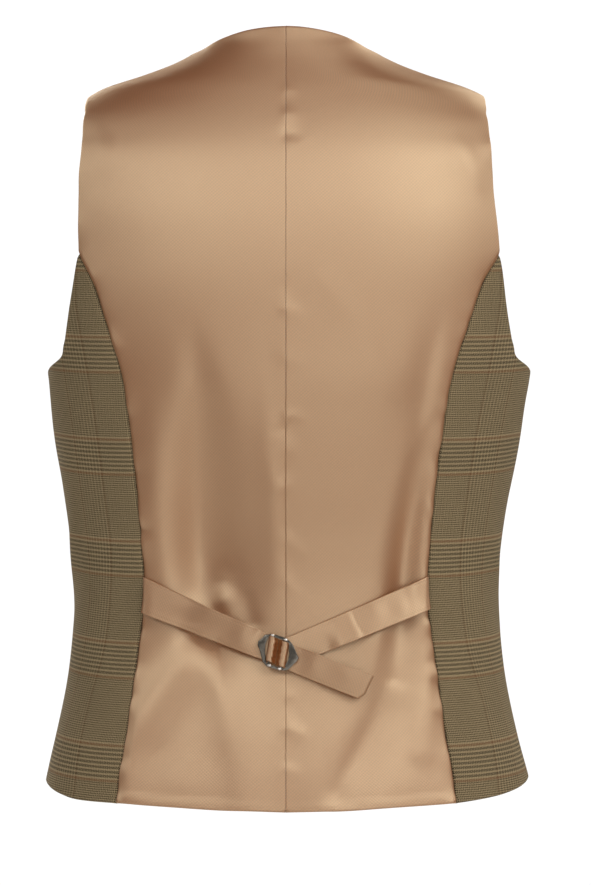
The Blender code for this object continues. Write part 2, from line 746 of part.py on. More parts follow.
def buttons(material):
    mesh = button_mesh()
    mesh.materials.clear()
    for number, height in enumerate(BUTTON_HEIGHTS, 1):
        if not mesh.materials:
            thing = make_object(f"button_{number}", mesh, material)
        else:
            thing = bpy.data.objects.new(f"button_{number}", mesh)
            bpy.context.scene.collection.objects.link(thing)
        thing.matrix_world = frame_on_form(math.pi, height, BUTTON_CLEARANCE, front_place)


def finish(name, look):
    colour, roughness, metallic = look
    material = bpy.data.materials.new(name)
    material.use_nodes = True
    surface = material.node_tree.nodes["Principled BSDF"]
    surface.inputs["Base Color"].default_value = (*colour, 1.0)
    surface.inputs["Roughness"].default_value = roughness
    surface.inputs["Metallic"].default_value = metallic
    material.diffuse_color = (*colour, 1.0)
    return material


def main():
    for thing in list(bpy.data.objects):
        bpy.data.objects.remove(thing)
    satin = finish("satin", SATIN)
    wool = finish("wool", WOOL)
    for side, word in ((1, "left"), (-1, "right")):
        cut_panel(f"back_{word}", back_outline(), BACK_STEP, side, back_place, satin)
        hem_drop = LEFT_HEM_DROP if side == 1 else 0.0
        cut_panel(f"front_{word}", front_outline(hem_drop), FRONT_STEP, side, front_place, wool)
    left_strap(satin)
    right_strap(satin)
    buckle(finish("gunmetal", GUNMETAL))
    buttons(finish("horn", HORN))


main()
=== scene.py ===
"""The looks of a suit waistcoat: fine cloth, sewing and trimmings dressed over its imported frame.

Metres, +Z up. The fronts face -Y and the back faces +Y; the wearer's left is +X. The body form,
the outlines and the straps' lines follow the same named sizes as the construction solids.
"""

import math

import bmesh
import bpy
import numpy as np
from mathutils import Matrix, Vector
from mathutils.geometry import delaunay_2d_cdt


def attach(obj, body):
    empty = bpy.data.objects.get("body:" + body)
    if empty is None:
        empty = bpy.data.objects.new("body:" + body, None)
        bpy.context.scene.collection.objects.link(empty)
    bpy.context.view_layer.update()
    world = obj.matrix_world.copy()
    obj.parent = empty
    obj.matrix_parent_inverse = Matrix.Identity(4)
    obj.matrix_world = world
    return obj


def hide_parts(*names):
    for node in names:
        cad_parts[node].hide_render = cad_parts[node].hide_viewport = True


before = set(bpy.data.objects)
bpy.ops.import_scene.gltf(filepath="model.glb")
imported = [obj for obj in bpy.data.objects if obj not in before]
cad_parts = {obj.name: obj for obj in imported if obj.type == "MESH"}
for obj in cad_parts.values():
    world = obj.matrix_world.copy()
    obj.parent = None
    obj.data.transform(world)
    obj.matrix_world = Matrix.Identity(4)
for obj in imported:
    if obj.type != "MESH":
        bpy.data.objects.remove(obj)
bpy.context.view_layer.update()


MM = 0.001


def mm(*rows):
    """Rows of sizes in millimetres, in metres."""
    return np.array(rows, float) / 1000


def by_turn(*rows):
    """Rows of degrees round from the centre back, and heights in millimetres, in metres."""
    return np.array(rows, float) / (1, 1000)


# Cloth and sewing
CLOTH_WALL = 0.0016
SEAM_GAP = 0.0001
CENTRE_GAP = 0.00002
EDGE_STEP = 0.0026
BACK_STEP = 0.0027
FRONT_STEP = 0.0036
ROW_DEPTHS = (0.0006, 0.0015, 0.0030)
EDGE_ROUND, EDGE_FULLNESS, EDGE_SHARE = 0.0011, 0.98, 0.36
SEAM_DIP, SEAM_DIP_REACH = 0.0011, 0.0013
CENTRE_DIP, CENTRE_DIP_REACH = 0.00010, 0.0007
HEM_DEPTH, HEM_TURN, HEM_RELIEF = 0.0065, 0.0007, 0.00028
STITCH_PITCH = 0.00175
TWILL_PITCH = 0.00165

# The body form: flattened ovals, each by its height, half width, depth behind and in front of the
# wearer's middle, and how far both sides sway to the left
SQUARENESS = 2.3
RINGS = mm(
    (60, 50, 50, 30, 0), (37, 59, 60, 36, 0), (16.8, 66.5, 68, 45, 0), (8, 82.5, 72, 51, 0),
    (-0.7, 105.5, 77, 57, 0), (-9.5, 132.5, 82, 63, 0), (-20, 151, 87, 70, 0), (-50, 171.5, 99, 85, 0),
    (-90, 177.5, 109, 100, -0.6), (-130, 179, 115, 112, -3), (-170, 178.2, 118, 121, -2.2),
    (-217.5, 175.6, 117, 125, -2.4), (-250, 170.4, 112, 124, -1.4), (-294, 163.7, 104, 121, -0.4),
    (-338, 157.2, 96, 117, 0), (-375, 153.8, 92, 114, 0), (-405, 155.8, 93, 114, -0.3),
    (-436.5, 159.4, 97, 115, -0.4), (-480, 168.3, 107, 118, -0.5), (-513, 176.5, 115, 121, -0.8),
    (-550, 184, 123, 124, -0.8),
)

# Outlines, by distance from the centre plane and height
SIDE_SEAM = mm(
    (121, -523), (119, -502), (114.9, -480), (110.8, -450), (106.2, -416), (101.4, -380), (103, -345),
    (107, -297), (112.8, -249), (116, -228), (121.5, -206), (129.4, -183), (137.6, -158.5),
    (142.5, -147.5), (151, -132.5),
)
BACK_ARMHOLE = mm(
    (150.6, -122), (149.7, -100), (148.8, -79), (147.3, -57), (145.9, -35), (145, -25.5),
    (144.5, -20.5), (143.4, -16),
)
UNDERARM_BACK = mm((153.3, -143.5), (156.3, -165), (159.4, -186), (161.7, -197), (166.2, -207.5))
BACK_NECK = mm((62, 17), (52, 21.7), (42, 25.5), (26, 29.2), (11.3, 31.2))
FRONT_NECK = mm(
    (70.6, 13.8), (70.2, 12.2), (69.7, 8.5), (69.2, 2), (68.5, -8), (67.3, -25), (64.5, -50), (57, -90),
    (46.5, -130), (33, -170), (17, -205), (0, -233),
)

# Outlines, by turn and height
BACK_HEM = by_turn((0, -527.2), (13, -526.6), (27, -524.5))
FRONT_HEM = by_turn(
    (54, -519.5), (63, -516.5), (78, -511.5), (90, -510), (106, -511.5), (125, -518), (145, -530),
)
FRONT_POINT = by_turn((160, -540))
LEFT_HEM_DROP = 0.0024
FRONT_ARMHOLE = by_turn(
    (90, -217.5), (98, -219), (107, -212), (116, -195), (125, -165), (130.5, -128), (131.5, -90),
    (129, -58), (123, -37), (112, -22.5),
)
SHOULDER_TIP_HEIGHT = -0.0132
NECK_POINT_HEIGHT = 0.0145
NECK_CENTRE_HEIGHT = 0.0317

# How the fronts close
LAP = 0.010
LAP_LIFT = 0.0028
LAP_LIFT_FROM, LAP_LIFT_TO = 0.065, 0.030
NECK_END_HEIGHT = -0.2450
FRONT_EDGE_END_HEIGHT = -0.5060

# Creases, each along marks listed from the top down, or from the seam outwards: the distance
# across and the height, how far the cloth rises there, and how far the crease reaches to its two
# sides (towards the wearer's left first, or upwards first), all in millimetres
CREASE_STEP = 4.0
CREASE_END = 3.2
BACK_CREASES = {
    "left_hollow": (
        (66, -188, -0.3, 8, 9), (62, -222, -2.4, 11, 13), (61, -250, -6, 14, 20), (62, -285, -11, 17, 28),
        (62, -330, -16, 18, 34), (60, -362, -16.6, 19, 35), (54, -398, -10.6, 16, 33),
    ),
    "seam_crest": (
        (13, -235, 0.4, 8, 7), (11, -270, 1.7, 10, 8), (8, -300, 2.4, 10, 7), (7, -335, 1.8, 9, 7),
        (6, -374, 0.9, 9, 7),
    ),
    "left_ridge": (
        (94, -240, 0.4, 8, 10), (91, -282, 1.2, 10, 12), (88, -322, 2, 11, 12), (83, -357, 2.4, 11, 11),
        (76, -382, 1.6, 10, 10),
    ),
    "strap_swell": ((45, -367, 1, 7, 7), (45, -379, 3.4, 8, 8), (41, -387, 1.5, 8, 8)),
    "buckle_dent": ((28, -379, -1, 6, 6), (25, -394, -2, 8, 8)),
    "right_seam_hollow": (
        (-108, -182, -0.5, 12, 5), (-103, -207, -1.7, 14, 5), (-97, -240, -1.9, 14, 5),
        (-93, -256, -0.8, 12, 5),
    ),
    "right_hollow": (
        (-101, -256, -0.8, 9, 5), (-96, -282, -3, 10, 6), (-92, -308, -5.8, 11, 7),
        (-88, -335, -7.8, 11.5, 8), (-85, -365, -8.2, 12, 9), (-84, -392, -6.2, 12, 9),
        (-82, -412, -4, 11, 9), (-78, -432, -1.8, 10, 9),
    ),
    "right_ridge": (
        (-84, -282, 0.4, 8, 6), (-78, -308, 0.8, 10, 7), (-72, -335, 1.2, 12, 8), (-68, -370, 1.2, 14, 8),
    ),
    "right_under_strap": ((-65, -402, 1.4, 10, 8), (-59, -425, 1.8, 10, 8), (-54, -445, 1, 9, 8)),
    "hem_hollow": (
        (3, -480, 0, 18, 22), (3, -505, -0.8, 20, 26), (3, -530, -3, 24, 30), (3, -548, -5, 24, 30),
    ),
    "low_left_ridge": (
        (62, -406, 1.4, 11, 14), (77, -430, 3.6, 12, 16), (96, -456, 4.8, 12, 16),
        (110, -483, 4.2, 12, 14), (117, -512, 2.8, 12, 14),
    ),
    "low_middle_ridge": (
        (42, -412, 1, 9, 14), (42, -440, 3, 12, 22), (37, -470, 3.2, 14, 24), (29, -500, 2.4, 14, 22),
        (25, -522, 1.6, 14, 20),
    ),
    "low_right_hollow": (
        (-76, -438, -1.2, 9, 14), (-67, -460, -3.4, 9, 18), (-53, -487, -4.6, 10, 20),
        (-40, -512, -3.4, 11, 20),
    ),
    "low_seam_ridge": ((-103, -421, 1, 8, 8), (-99, -450, 2, 8, 12), (-96, -485, 1.4, 8, 12)),
    "shoulder_blade": (
        (-31, -155, 0.3, 10, 10), (-47, -180, 0.8, 9, 9), (-61, -205, 0.6, 9, 9), (-70, -237, 0.3, 9, 9),
    ),
    "left_arm_streak": ((132, -42, 0.2, 3, 3), (132, -56, 0.5, 3, 3), (131, -72, 0.2, 3, 4)),
    "left_arm_inner_streak": ((125, -49, 0.1, 3, 3), (125, -60, 0.4, 3, 3), (124, -74, 0.1, 3, 4)),
    "right_arm_curve": ((-126, -53, 0.2, 4, 6), (-134, -67, 0.6, 4, 6), (-138, -84, 0.4, 4, 6)),
}
# Short puckers that start at the centre seam
SEAM_PUCKERS = (
    ((-1, -16, 0.52, 4, 4), (-12, -18, 0, 4, 4)), ((-1, -33, 0.6, 4, 4), (-12, -36, 0, 4, 4)),
    ((-1, -48, -0.75, 4, 4), (-13, -51, 0, 4, 4)), ((-1, -174, 1.2, 5, 5), (-16, -178, 0.1, 6, 6)),
    ((-1, -207, 1.2, 7, 7), (-14, -210, 0.1, 7, 7)), ((-1, -247, 1.05, 4, 4), (-14, -250, 0.1, 5, 5)),
    ((-1, -272, 0.75, 6, 6), (-11, -274, 0, 6, 6)), ((-1, -336, 0.75, 5, 5), (-14, -350, 0.1, 6, 6)),
    ((-1, -366, 0.75, 4, 4), (-11, -379, 0.1, 5, 5)), ((-1, -446, 0.6, 4, 4), (-11, -448, 0, 4, 4)),
    ((-2, -469, 1.2, 5, 5), (-15, -477, 0.1, 5, 5)), ((-1, -498, 0.75, 4, 4), (-11, -503, 0, 4, 4)),
    ((1, -250, 0.75, 4, 4), (13, -255, 0, 4, 4)), ((1, -298, 0.75, 4, 4), (10, -303, 0, 4, 4)),
    ((1, -265, 0.45, 4, 4), (17, -262, 0, 4, 4)),
)
# The fronts' creases, by side, placed by the turn in degrees in place of the distance across
FRONT_CREASES = {
    1: {
        "underarm_drag": ((78, -225, 0.6, 10, 14), (88, -262, 1.6, 12, 16), (104, -300, 1, 12, 16)),
        "waist_fold": ((70, -318, 0.8, 12, 12), (82, -352, 1.7, 12, 14), (97, -386, 0.8, 12, 12)),
        "button_drag_1": ((172, -258, 1.2, 7, 8), (156, -250, 0.8, 9, 9), (140, -236, 0.2, 11, 11)),
        "button_drag_3": ((172, -374, 1.3, 7, 8), (155, -368, 0.9, 9, 9), (136, -352, 0.2, 11, 11)),
        "button_drag_4": ((172, -432, 0.9, 7, 8), (158, -440, 0.6, 8, 8), (142, -455, 0.2, 9, 9)),
        "breast_fold": ((124, -215, 0.4, 14, 14), (128, -250, 1.4, 16, 16), (131, -300, 0.5, 16, 16)),
        "hip_fold": ((112, -430, 0.3, 12, 14), (116, -468, 1.3, 14, 16), (119, -505, 1, 14, 16)),
    },
    -1: {
        "underarm_drag": ((76, -232, 0.5, 10, 14), (87, -270, 1.4, 12, 16), (101, -312, 0.9, 12, 16)),
        "waist_fold": ((66, -330, 0.7, 12, 12), (80, -362, 1.5, 12, 14), (94, -398, 0.7, 12, 12)),
        "button_drag_2": ((166, -316, 1, 7, 8), (150, -310, 0.7, 9, 9), (134, -298, 0.2, 11, 11)),
        "button_drag_3": ((167, -378, 1.1, 7, 8), (152, -386, 0.7, 9, 9), (137, -398, 0.2, 11, 11)),
        "breast_fold": ((121, -222, 0.4, 14, 14), (126, -258, 1.2, 16, 16), (128, -304, 0.4, 16, 16)),
        "hip_fold": ((108, -440, 0.3, 12, 14), (112, -474, 1.2, 14, 16), (114, -505, 0.9, 14, 16)),
    },
}
SEAM_CALM, ARMHOLE_CALM = 0.010, 0.012
# Uneven edges: which one, how high the waves are, how far apart, how far in they reach, and a seed
BACK_RIPPLES = (
    ("armhole", 0.0005, 0.019, 0.008, 15), ("neck", 0.0003, 0.016, 0.008, 15),
    ("hem", 0.0006, 0.023, 0.014, 18),
)
SIDE_RIPPLE = ("side", 0.0008, 0.0085, 0.0065, 11)
SIDE_RIPPLE_FROM, SIDE_RIPPLE_TO = 0.004, 0.030
CENTRE_RIPPLE = ("centre", 0.00018, 0.011, 0.006, 40)
FRONT_RIPPLES = (
    ("side", 0.00030, 0.017, 0.009, 23), ("armhole", 0.0004, 0.021, 0.008, 23),
    ("edge", 0.0002, 0.020, 0.008, 23), ("hem", 0.0006, 0.030, 0.014, 23),
)

# The cinch: straps along sloping lines, and the buckle they meet in
STRAP_WALL = 0.0012
STRAP_SLOPE = math.radians(22.9)
LEFT_STRAP_START = (0.1012, -0.3757)
RIGHT_STRAP_START = (-0.1026, -0.3735)
BUCKLE_CENTRE = (0.0058, -0.4160)
LEFT_RUN = (LEFT_STRAP_START[0] - BUCKLE_CENTRE[0]) / math.cos(STRAP_SLOPE)
RIGHT_STRAP_LENGTH = 0.1125
TAIL_LENGTH = 0.0680
STRAP_CLEARANCE = 0.0009
STRAP_ABOVE_STRAP = 0.0027
LEFT_STRAP_HALF_WIDTHS = (0.0120, 0.0091)
RIGHT_STRAP_HALF_WIDTHS = (0.0108, 0.0102)
IN_BUCKLE_HALF_WIDTH = 0.0088
STRAP_END_INSET = 0.0008
STRAP_HIDDEN_END = 0.03
BUCKLE_SHEAR = 0.245
BAR_PLACES = (-0.0050, 0.0044)
BAR_HALF_WIDTH = 0.0007
BUCKLE_WALL = 0.0012
BUCKLE_LIFT = 0.0045
LOOP_RADII = (0.0020, 0.0023)
LOOP_FILLET = 0.0008
LOOP_TOP = 0.0072
LOOP_SQUARENESS = 0.7
LOOP_DIP = mm((-1.4, 2.6), (-0.7, 0.9), (0, 0.1), (0.7, 0.9), (1.4, 2.6))
LOOP_SPREAD = 0.0140
LOOP_FRILL, LOOP_FRILL_PITCH = 0.00035, 0.0046
PLATE_REACH = 0.0045
STRAP_RISE = 0.0400
SLANT_REACH = 0.0400
SQUEEZE_FROM, SQUEEZE_TO, FRILL_TO = 0.016, 0.009, 0.004
SHEAR_FROM, SHEAR_TO = 0.024, 0.010
STRAP_STEP = 0.0020
STRAP_COLUMNS = 22
STRAP_START_ALLOWANCE = 0.002
NO_SEAM = 0.02      # too far from a seam for its stitches to show
STRAP_STITCH_INSET, STRAP_STITCH_REACH, STRAP_STITCH_DIP = 0.0016, 0.0004, 0.00022
STRAP_EDGE_ROUND, STRAP_EDGE_FULLNESS = 0.0008, 0.94
STRAP_END_ROUND, STRAP_END_FULLNESS = 0.0012, 0.90
# Bulges in the straps: the rise, the place and reach along the strap, and those across it
LEFT_STRAP_BUMPS = (
    (0.0010, 0.030, 0.010, 0.004, 0.008), (0.0007, 0.074, 0.005, 0.002, 0.006),
    (0.0008, LEFT_RUN + 0.028, 0.006, -0.001, 0.006), (0.0007, LEFT_RUN + 0.050, 0.007, 0.003, 0.006),
    (-0.0003, LEFT_RUN - 0.0165, 0.0010, 0.0, math.inf),
)
RIGHT_STRAP_BUMPS = (
    (0.0008, 0.022, 0.008, -0.002, 0.009), (0.0010, 0.043, 0.008, 0.003, 0.008),
    (-0.0007, 0.0565, 0.0013, 0.0, math.inf), (0.0005, 0.062, 0.004, 0.0, math.inf),
)
# How steeply each edge of the straps stands off the cloth
LEFT_LOW_TILT, LEFT_HIGH_TILT, TAIL_TILT, RIGHT_LOW_TILT = 0.22, 0.24, 0.30, 0.23
TAIL_CORNER, TAIL_LIFT, TAIL_LIFT_FROM, TAIL_CURL = 0.0026, 0.0030, 0.014, 1.4
LOWEST_WAVE = -0.0003
PUCKER_RISE, PUCKER_SPACING, PUCKER_SEED = 0.0005, 0.0050, 77
# Where those shapes come in and go out, along the straps or across them
TAIL_CORNER_BREADTH, TAIL_CORNER_RUN, TAIL_TILT_IN = (0.0040, 0.0095), (0.054, TAIL_LENGTH), (0.013, 0.026)
LOW_TILT_IN, LOW_TILT_OUT = (-0.008, 0.008), (0.040, 0.018)
HIGH_TILT_IN, HIGH_TILT_OUT = (0.028, 0.050), (0.089, 0.076)
OUT_OF_BUCKLE, UNDER_LEFT_STRAP, RIGHT_TILT_IN = (0.006, 0.014), (0.070, 0.084), (-0.008, 0.004)
PUCKER_BREADTH, PUCKER_IN = (0.000, 0.008), (0.050, 0.065)
STRAP_PAINTED_SHADE = 0.84      # a darker copy of the satin for the left strap and its tail: painted shade
# The solids' own folds and troughs, over which the taut straps lie: rise, half width and marks
# from the top down, in millimetres
STRAP_BED = (
    (2.2, 20, ((46, -215), (29, -275), (19, -325), (16, -362))),
    (1.8, 10, ((82, -290), (77, -330), (73, -368))), (2, 13, ((-91, -310), (-88, -362))),
    (2.6, 14, ((64, -415), (68, -500))), (2, 14, ((-94, -410), (-96, -490))),
    (-4, 16, ((58, -225), (63, -300), (64, -372))),
    (-3, 9, ((-104, -200), (-95, -265), (-81, -300), (-76, -370))),
    (-2.8, 13, ((45, -430), (33, -500))), (-2.4, 14, ((-70, -400), (-58, -500))),
)
BED_FADE = 0.035
BED_CALM = 0.014
BED_CLEARANCE = 0.0004
BED_SLOPE = 0.40
BED_BLEND = 0.0006

# The buckle's frame from its centre, across and up; its hole is crossed by two bars
BUCKLE_OUTLINE = mm(
    (3.5, 12.9), (8.8, 12.3), (10.7, 10), (13.7, 7.8), (14.1, 4.9), (12.3, 0.3), (10.7, -6.8),
    (9.8, -7.9), (6.9, -10.8), (5.2, -11), (-1.6, -13.3), (-7, -13), (-9.7, -10.6), (-13.8, -6.5),
    (-15, -4.1), (-13.2, -0.3), (-11, 5.1), (-9.1, 7.3), (-5.9, 10),
)
BUCKLE_TOP_INNER = mm((3, 10.7), (-6.2, 7.7))
BUCKLE_BOTTOM_INNER = mm((6, -8.7), (-1.2, -11.1))
LEFT_PLATE_INNER = mm((6.7, 10.2), (8.5, 5.5), (8.9, 0.2), (8.5, -4.7), (7.8, -7.8))
RIGHT_PLATE_INNER = mm((-7.8, 6.2), (-8.4, -1.5), (-7.6, -5.3), (-5.2, -10))
BUCKLE_EDGE_ROUND = 0.0003
KNUCKLES = mm((3.5, 11.6), (-5.8, 8.6), (5.7, -9.5), (-1.6, -11.9))
KNUCKLE_RADIUS, KNUCKLE_HEIGHT, KNUCKLE_SHAPE = 0.0013, 0.6, (1.25, 1.0, 0.9, 1.0)
TINY = 1e-6

# Buttons down the centre front, and their holes in the left front
BUTTON_HEIGHTS = (-0.2580, -0.3160, -0.3740, -0.4320, -0.4900)
BUTTON_CLEARANCE = 0.0004
BUTTON_PROFILE = mm(
    (0, 0), (6.2, 0), (7, 0.5), (7.45, 1.2), (7.3, 1.9), (6.9, 2.45), (6.4, 2.6), (5.9, 2.5),
    (5.3, 2.2), (4.6, 2.02), (3, 1.95), (0, 1.95),
)
BUTTON_STEPS = 72
BUTTON_HOLE_RADIUS = 0.0008
BUTTON_HOLE_SPREAD = 0.0017
HOLE_SPOTS = [
    (BUTTON_HOLE_SPREAD * math.cos(a), BUTTON_HOLE_SPREAD * math.sin(a))
    for a in (math.tau * (k + 0.5) / 4 for k in range(4))
]
THREAD_RADIUS, THREAD_SHIFT, THREAD_STEPS = 0.00030, 0.00024, 12
THREAD_FOOT, THREAD_RISE = 0.00095, 0.00145
HOLE_FROM, HOLE_TO, HOLE_HALF_HEIGHT = -0.0020, 0.0165, 0.0008
PURL_RADIUS, PURL_LIFT, PURL_HEIGHT, PURLS = 0.00042, 0.00012, 0.00006, 80

# The drawing plane, as in the solids
TURN_RADIUS = 0.14
SHOULDER_HEIGHT = -0.030
SHOULDER_STRETCH = 2.4
CURVE_PIECES = 12
NUDGE = 1e-4

# The glen check, in threads: bands of nine lines cross a ground of three dark and two light
THREAD_PITCH = 0.000312
REPEAT_THREADS, BAND_THREADS, LINE_THREADS, DARK_THREADS = 234, 90, 10, 6
GROUND_THREADS, GROUND_DARK_THREADS = 5, 3
MIDDLE_LINE = 4
TWILL_THREADS = 4
BAND_HEIGHT = -0.1458
BAND_RISE = 0.0045
BAND_RISE_FROM, BAND_RISE_TO = math.radians(40), math.radians(90)
# The turn that the warp follows at each height, in degrees
GRAIN = (
    (-0.5160, 54.9), (-0.4920, 56.7), (-0.4516, 56.3), (-0.4120, 52.4), (-0.3765, 51.2),
    (-0.3410, 49.6), (-0.3127, 49.6), (-0.2500, 50.05), (-0.2210, 50.7), (-0.1680, 54.4),
)
GRAIN_TURN = 50.0
GRAIN_FADE_FROM, GRAIN_FADE_TO = math.radians(75), math.radians(120)
REFERENCE_HEIGHT = -0.300
CHEST_HEIGHT = -0.130
FRONT_MERIDIAN = math.radians(150)


# Reading smooth tables

def hermite(start, end, start_slope, end_slope, t):
    return ((2 * t**3 - 3 * t**2 + 1) * start + (t**3 - 2 * t**2 + t) * start_slope
            + (3 * t**2 - 2 * t**3) * end + (t**3 - t**2) * end_slope)


def smoothstep(low, high, value):
    t = np.clip((value - low) / (high - low), 0.0, 1.0)
    return t * t * (3 - 2 * t)


def bell(distance, reach):
    return np.exp(-((distance / reach) ** 2))


def read_table(keys, values, at):
    """A smooth reading of values at places between rising keys."""
    keys, values = np.asarray(keys, float), np.asarray(values, float)
    steps = np.diff(keys)
    slopes = np.diff(values) / steps
    inner = (slopes[:-1] * steps[1:] + slopes[1:] * steps[:-1]) / (steps[:-1] + steps[1:])
    slope = np.concatenate([slopes[:1], inner, slopes[-1:]])
    i = np.clip(np.searchsorted(keys, at, side="right") - 1, 0, len(keys) - 2)
    t = (at - keys[i]) / steps[i]
    return hermite(values[i], values[i + 1], slope[i] * steps[i], slope[i + 1] * steps[i], t)


def length_table(points):
    return np.concatenate([[0.0], np.cumsum(np.linalg.norm(np.diff(points, axis=0), axis=1))])


# The body form

RING_COLUMNS = RINGS[::-1].T


def ring_at(height):
    """The oval's half width, back depth, front depth and sway at each height."""
    return [read_table(RING_COLUMNS[0], column, height) for column in RING_COLUMNS[1:]]


def form_point(turn, height):
    """The body form at turns, in radians from the centre back towards +X, and heights."""
    turn, height = np.broadcast_arrays(np.asarray(turn, float), np.asarray(height, float))
    half_width, back_depth, front_depth, sway = ring_at(height)
    sine, cosine = np.sin(turn), np.cos(turn)
    oval = (abs(sine) ** SQUARENESS + abs(cosine) ** SQUARENESS) ** (1 / SQUARENESS)
    depth = np.where(cosine > 0, back_depth, front_depth)
    share = sine / oval
    return np.stack([half_width * share + sway * share**2, depth * cosine / oval, height], axis=-1)


def form_normal(turn, height):
    round_body = form_point(turn + NUDGE, height) - form_point(turn - NUDGE, height)
    up_body = form_point(turn, height + NUDGE) - form_point(turn, height - NUDGE)
    normal = np.cross(up_body, round_body)
    return normal / np.linalg.norm(normal, axis=-1, keepdims=True)


def back_turn(across, height):
    """The turn at which the back half of the form lies this far across."""
    share = np.minimum(abs(across) / ring_at(height)[0], 1.0)
    depth = (1 - share**SQUARENESS) ** (1 / SQUARENESS)
    return np.copysign(np.arctan2(share, depth), across)


def front_turn(across, height):
    return np.copysign(math.pi - abs(back_turn(across, height)), across)


def front_lift(turn, across):
    """How far the left front is lifted where it laps over the right one."""
    return np.where(turn > math.pi / 2, LAP_LIFT * smoothstep(LAP_LIFT_FROM, LAP_LIFT_TO, across), 0.0)


# The drawing plane, curves and outlines

def drawn(turn, height):
    above = np.maximum(height - SHOULDER_HEIGHT, 0.0)
    return np.stack(np.broadcast_arrays(turn * TURN_RADIUS, height + (SHOULDER_STRETCH - 1) * above), -1)


def undrawn(points):
    above = np.maximum(points[..., 1] - SHOULDER_HEIGHT, 0.0)
    return points[..., 0] / TURN_RADIUS, points[..., 1] - above * (1 - 1 / SHOULDER_STRETCH)


def drawn_marks(marks, turn_at=back_turn):
    across, height = marks.T
    return drawn(turn_at(across, height), height)


def drawn_turns(rows):
    degrees, height = rows.T
    return drawn(np.radians(degrees), height)


def respaced(curve, step):
    lengths = length_table(curve[:, :2])
    wanted = np.linspace(0.0, lengths[-1], max(1, round(lengths[-1] / step)) + 1)
    return np.stack([np.interp(wanted, lengths, column) for column in curve.T], axis=1)


def curve_through(points, step=EDGE_STEP):
    """Even points along a smooth curve through the given ones, both ends included."""
    points = np.asarray(points, float)
    ends = np.vstack([2 * points[:1] - points[1:2], points, 2 * points[-1:] - points[-2:-1]])
    share = (np.arange(CURVE_PIECES) / CURVE_PIECES)[:, None]
    fine = [
        hermite(ends[i], ends[i + 1], (ends[i + 1] - ends[i - 1]) / 2, (ends[i + 2] - ends[i]) / 2, share)
        for i in range(1, len(ends) - 2)
    ]
    return respaced(np.vstack([*fine, points[-1:]]), step)


def moved_round(curve, distance):
    """The curve moved round the body by a distance on the cloth."""
    turn, height = undrawn(curve)
    stretch = np.linalg.norm(form_point(turn + NUDGE, height) - form_point(turn - NUDGE, height), axis=1)
    moved = curve.copy()
    moved[:, 0] += distance * TURN_RADIUS / (stretch / (2 * NUDGE))
    return moved


def side_seam_across(height):
    across, heights = SIDE_SEAM.T
    return read_table(heights, across, np.clip(height, heights[0], heights[-1]))


def joined_edges(shift):
    """The side seam and the shoulder seam, moved a little round the body from where they meet."""
    tips = drawn(np.full(2, math.pi / 2), np.array([SHOULDER_TIP_HEIGHT, NECK_POINT_HEIGHT]))
    return [moved_round(curve_through(line), shift) for line in (drawn_marks(SIDE_SEAM), tips)]


def back_curves():
    """The back's edges in order round it."""
    seam, shoulder = joined_edges(-SEAM_GAP / 2)
    centre = drawn(np.zeros(2), np.array([NECK_CENTRE_HEIGHT, BACK_HEM[0][1]]))
    centre = moved_round(curve_through(centre), CENTRE_GAP / 2)
    return {
        "hem": curve_through([centre[-1], *drawn_turns(BACK_HEM[1:]), seam[0]]),
        "side": seam,
        "armhole": curve_through([seam[-1], *drawn_marks(BACK_ARMHOLE), shoulder[0]]),
        "shoulder": shoulder,
        "neck": curve_through([shoulder[-1], *drawn_marks(BACK_NECK), centre[0]]),
        "centre": centre,
    }


def front_curves(hem_drop):
    """A front's edges in order round it."""
    seam, shoulder = joined_edges(SEAM_GAP / 2)
    armhole = [seam[-1], *drawn_marks(UNDERARM_BACK), *drawn_turns(FRONT_ARMHOLE), shoulder[0]]
    ends = np.array([NECK_END_HEIGHT, FRONT_EDGE_END_HEIGHT])
    neck_end, edge_end = drawn(math.pi + back_turn(LAP, ends), ends)
    point = drawn_turns(FRONT_POINT)[0]
    return {
        "side": seam,
        "armhole": curve_through(armhole),
        "shoulder": shoulder,
        "neck": curve_through([shoulder[-1], *drawn_marks(FRONT_NECK, front_turn), neck_end]),
        "edge": curve_through([neck_end, edge_end]),
        "cutaway": curve_through([edge_end, point]),
        "hem": curve_through([point, *drawn_turns(FRONT_HEM[::-1] - (0.0, hem_drop)), seam[0]]),
    }


def nearest_on(points, line):
    """Each point's distance to a line, the length along it there, and which side of it it is on."""
    best = np.full(len(points), np.inf)
    along = np.zeros(len(points))
    turned = np.zeros(len(points))
    length = 0.0
    for start, end in zip(line[:-1], line[1:]):
        run = end - start
        size = np.linalg.norm(run)
        off = points - start
        share = np.clip(off @ run / size**2, 0.0, 1.0)
        distance = np.linalg.norm(off - share[:, None] * run, axis=1)
        nearer = distance < best
        best[nearer] = distance[nearer]
        along[nearer] = length + share[nearer] * size
        turned[nearer] = (run[0] * off[:, 1] - run[1] * off[:, 0])[nearer]
        length += size
    return best, along, turned


def inside_outline(points, outline):
    inside = np.zeros(len(points), bool)
    for start, end in zip(outline, np.roll(outline, -1, axis=0)):
        if start[1] == end[1]:
            continue
        spans = (start[1] > points[:, 1]) != (end[1] > points[:, 1])
        crossing = start[0] + (points[:, 1] - start[1]) / (end[1] - start[1]) * (end[0] - start[0])
        inside ^= spans & (crossing > points[:, 0])
    return inside


def closed(outline):
    return np.vstack([outline, outline[:1]])


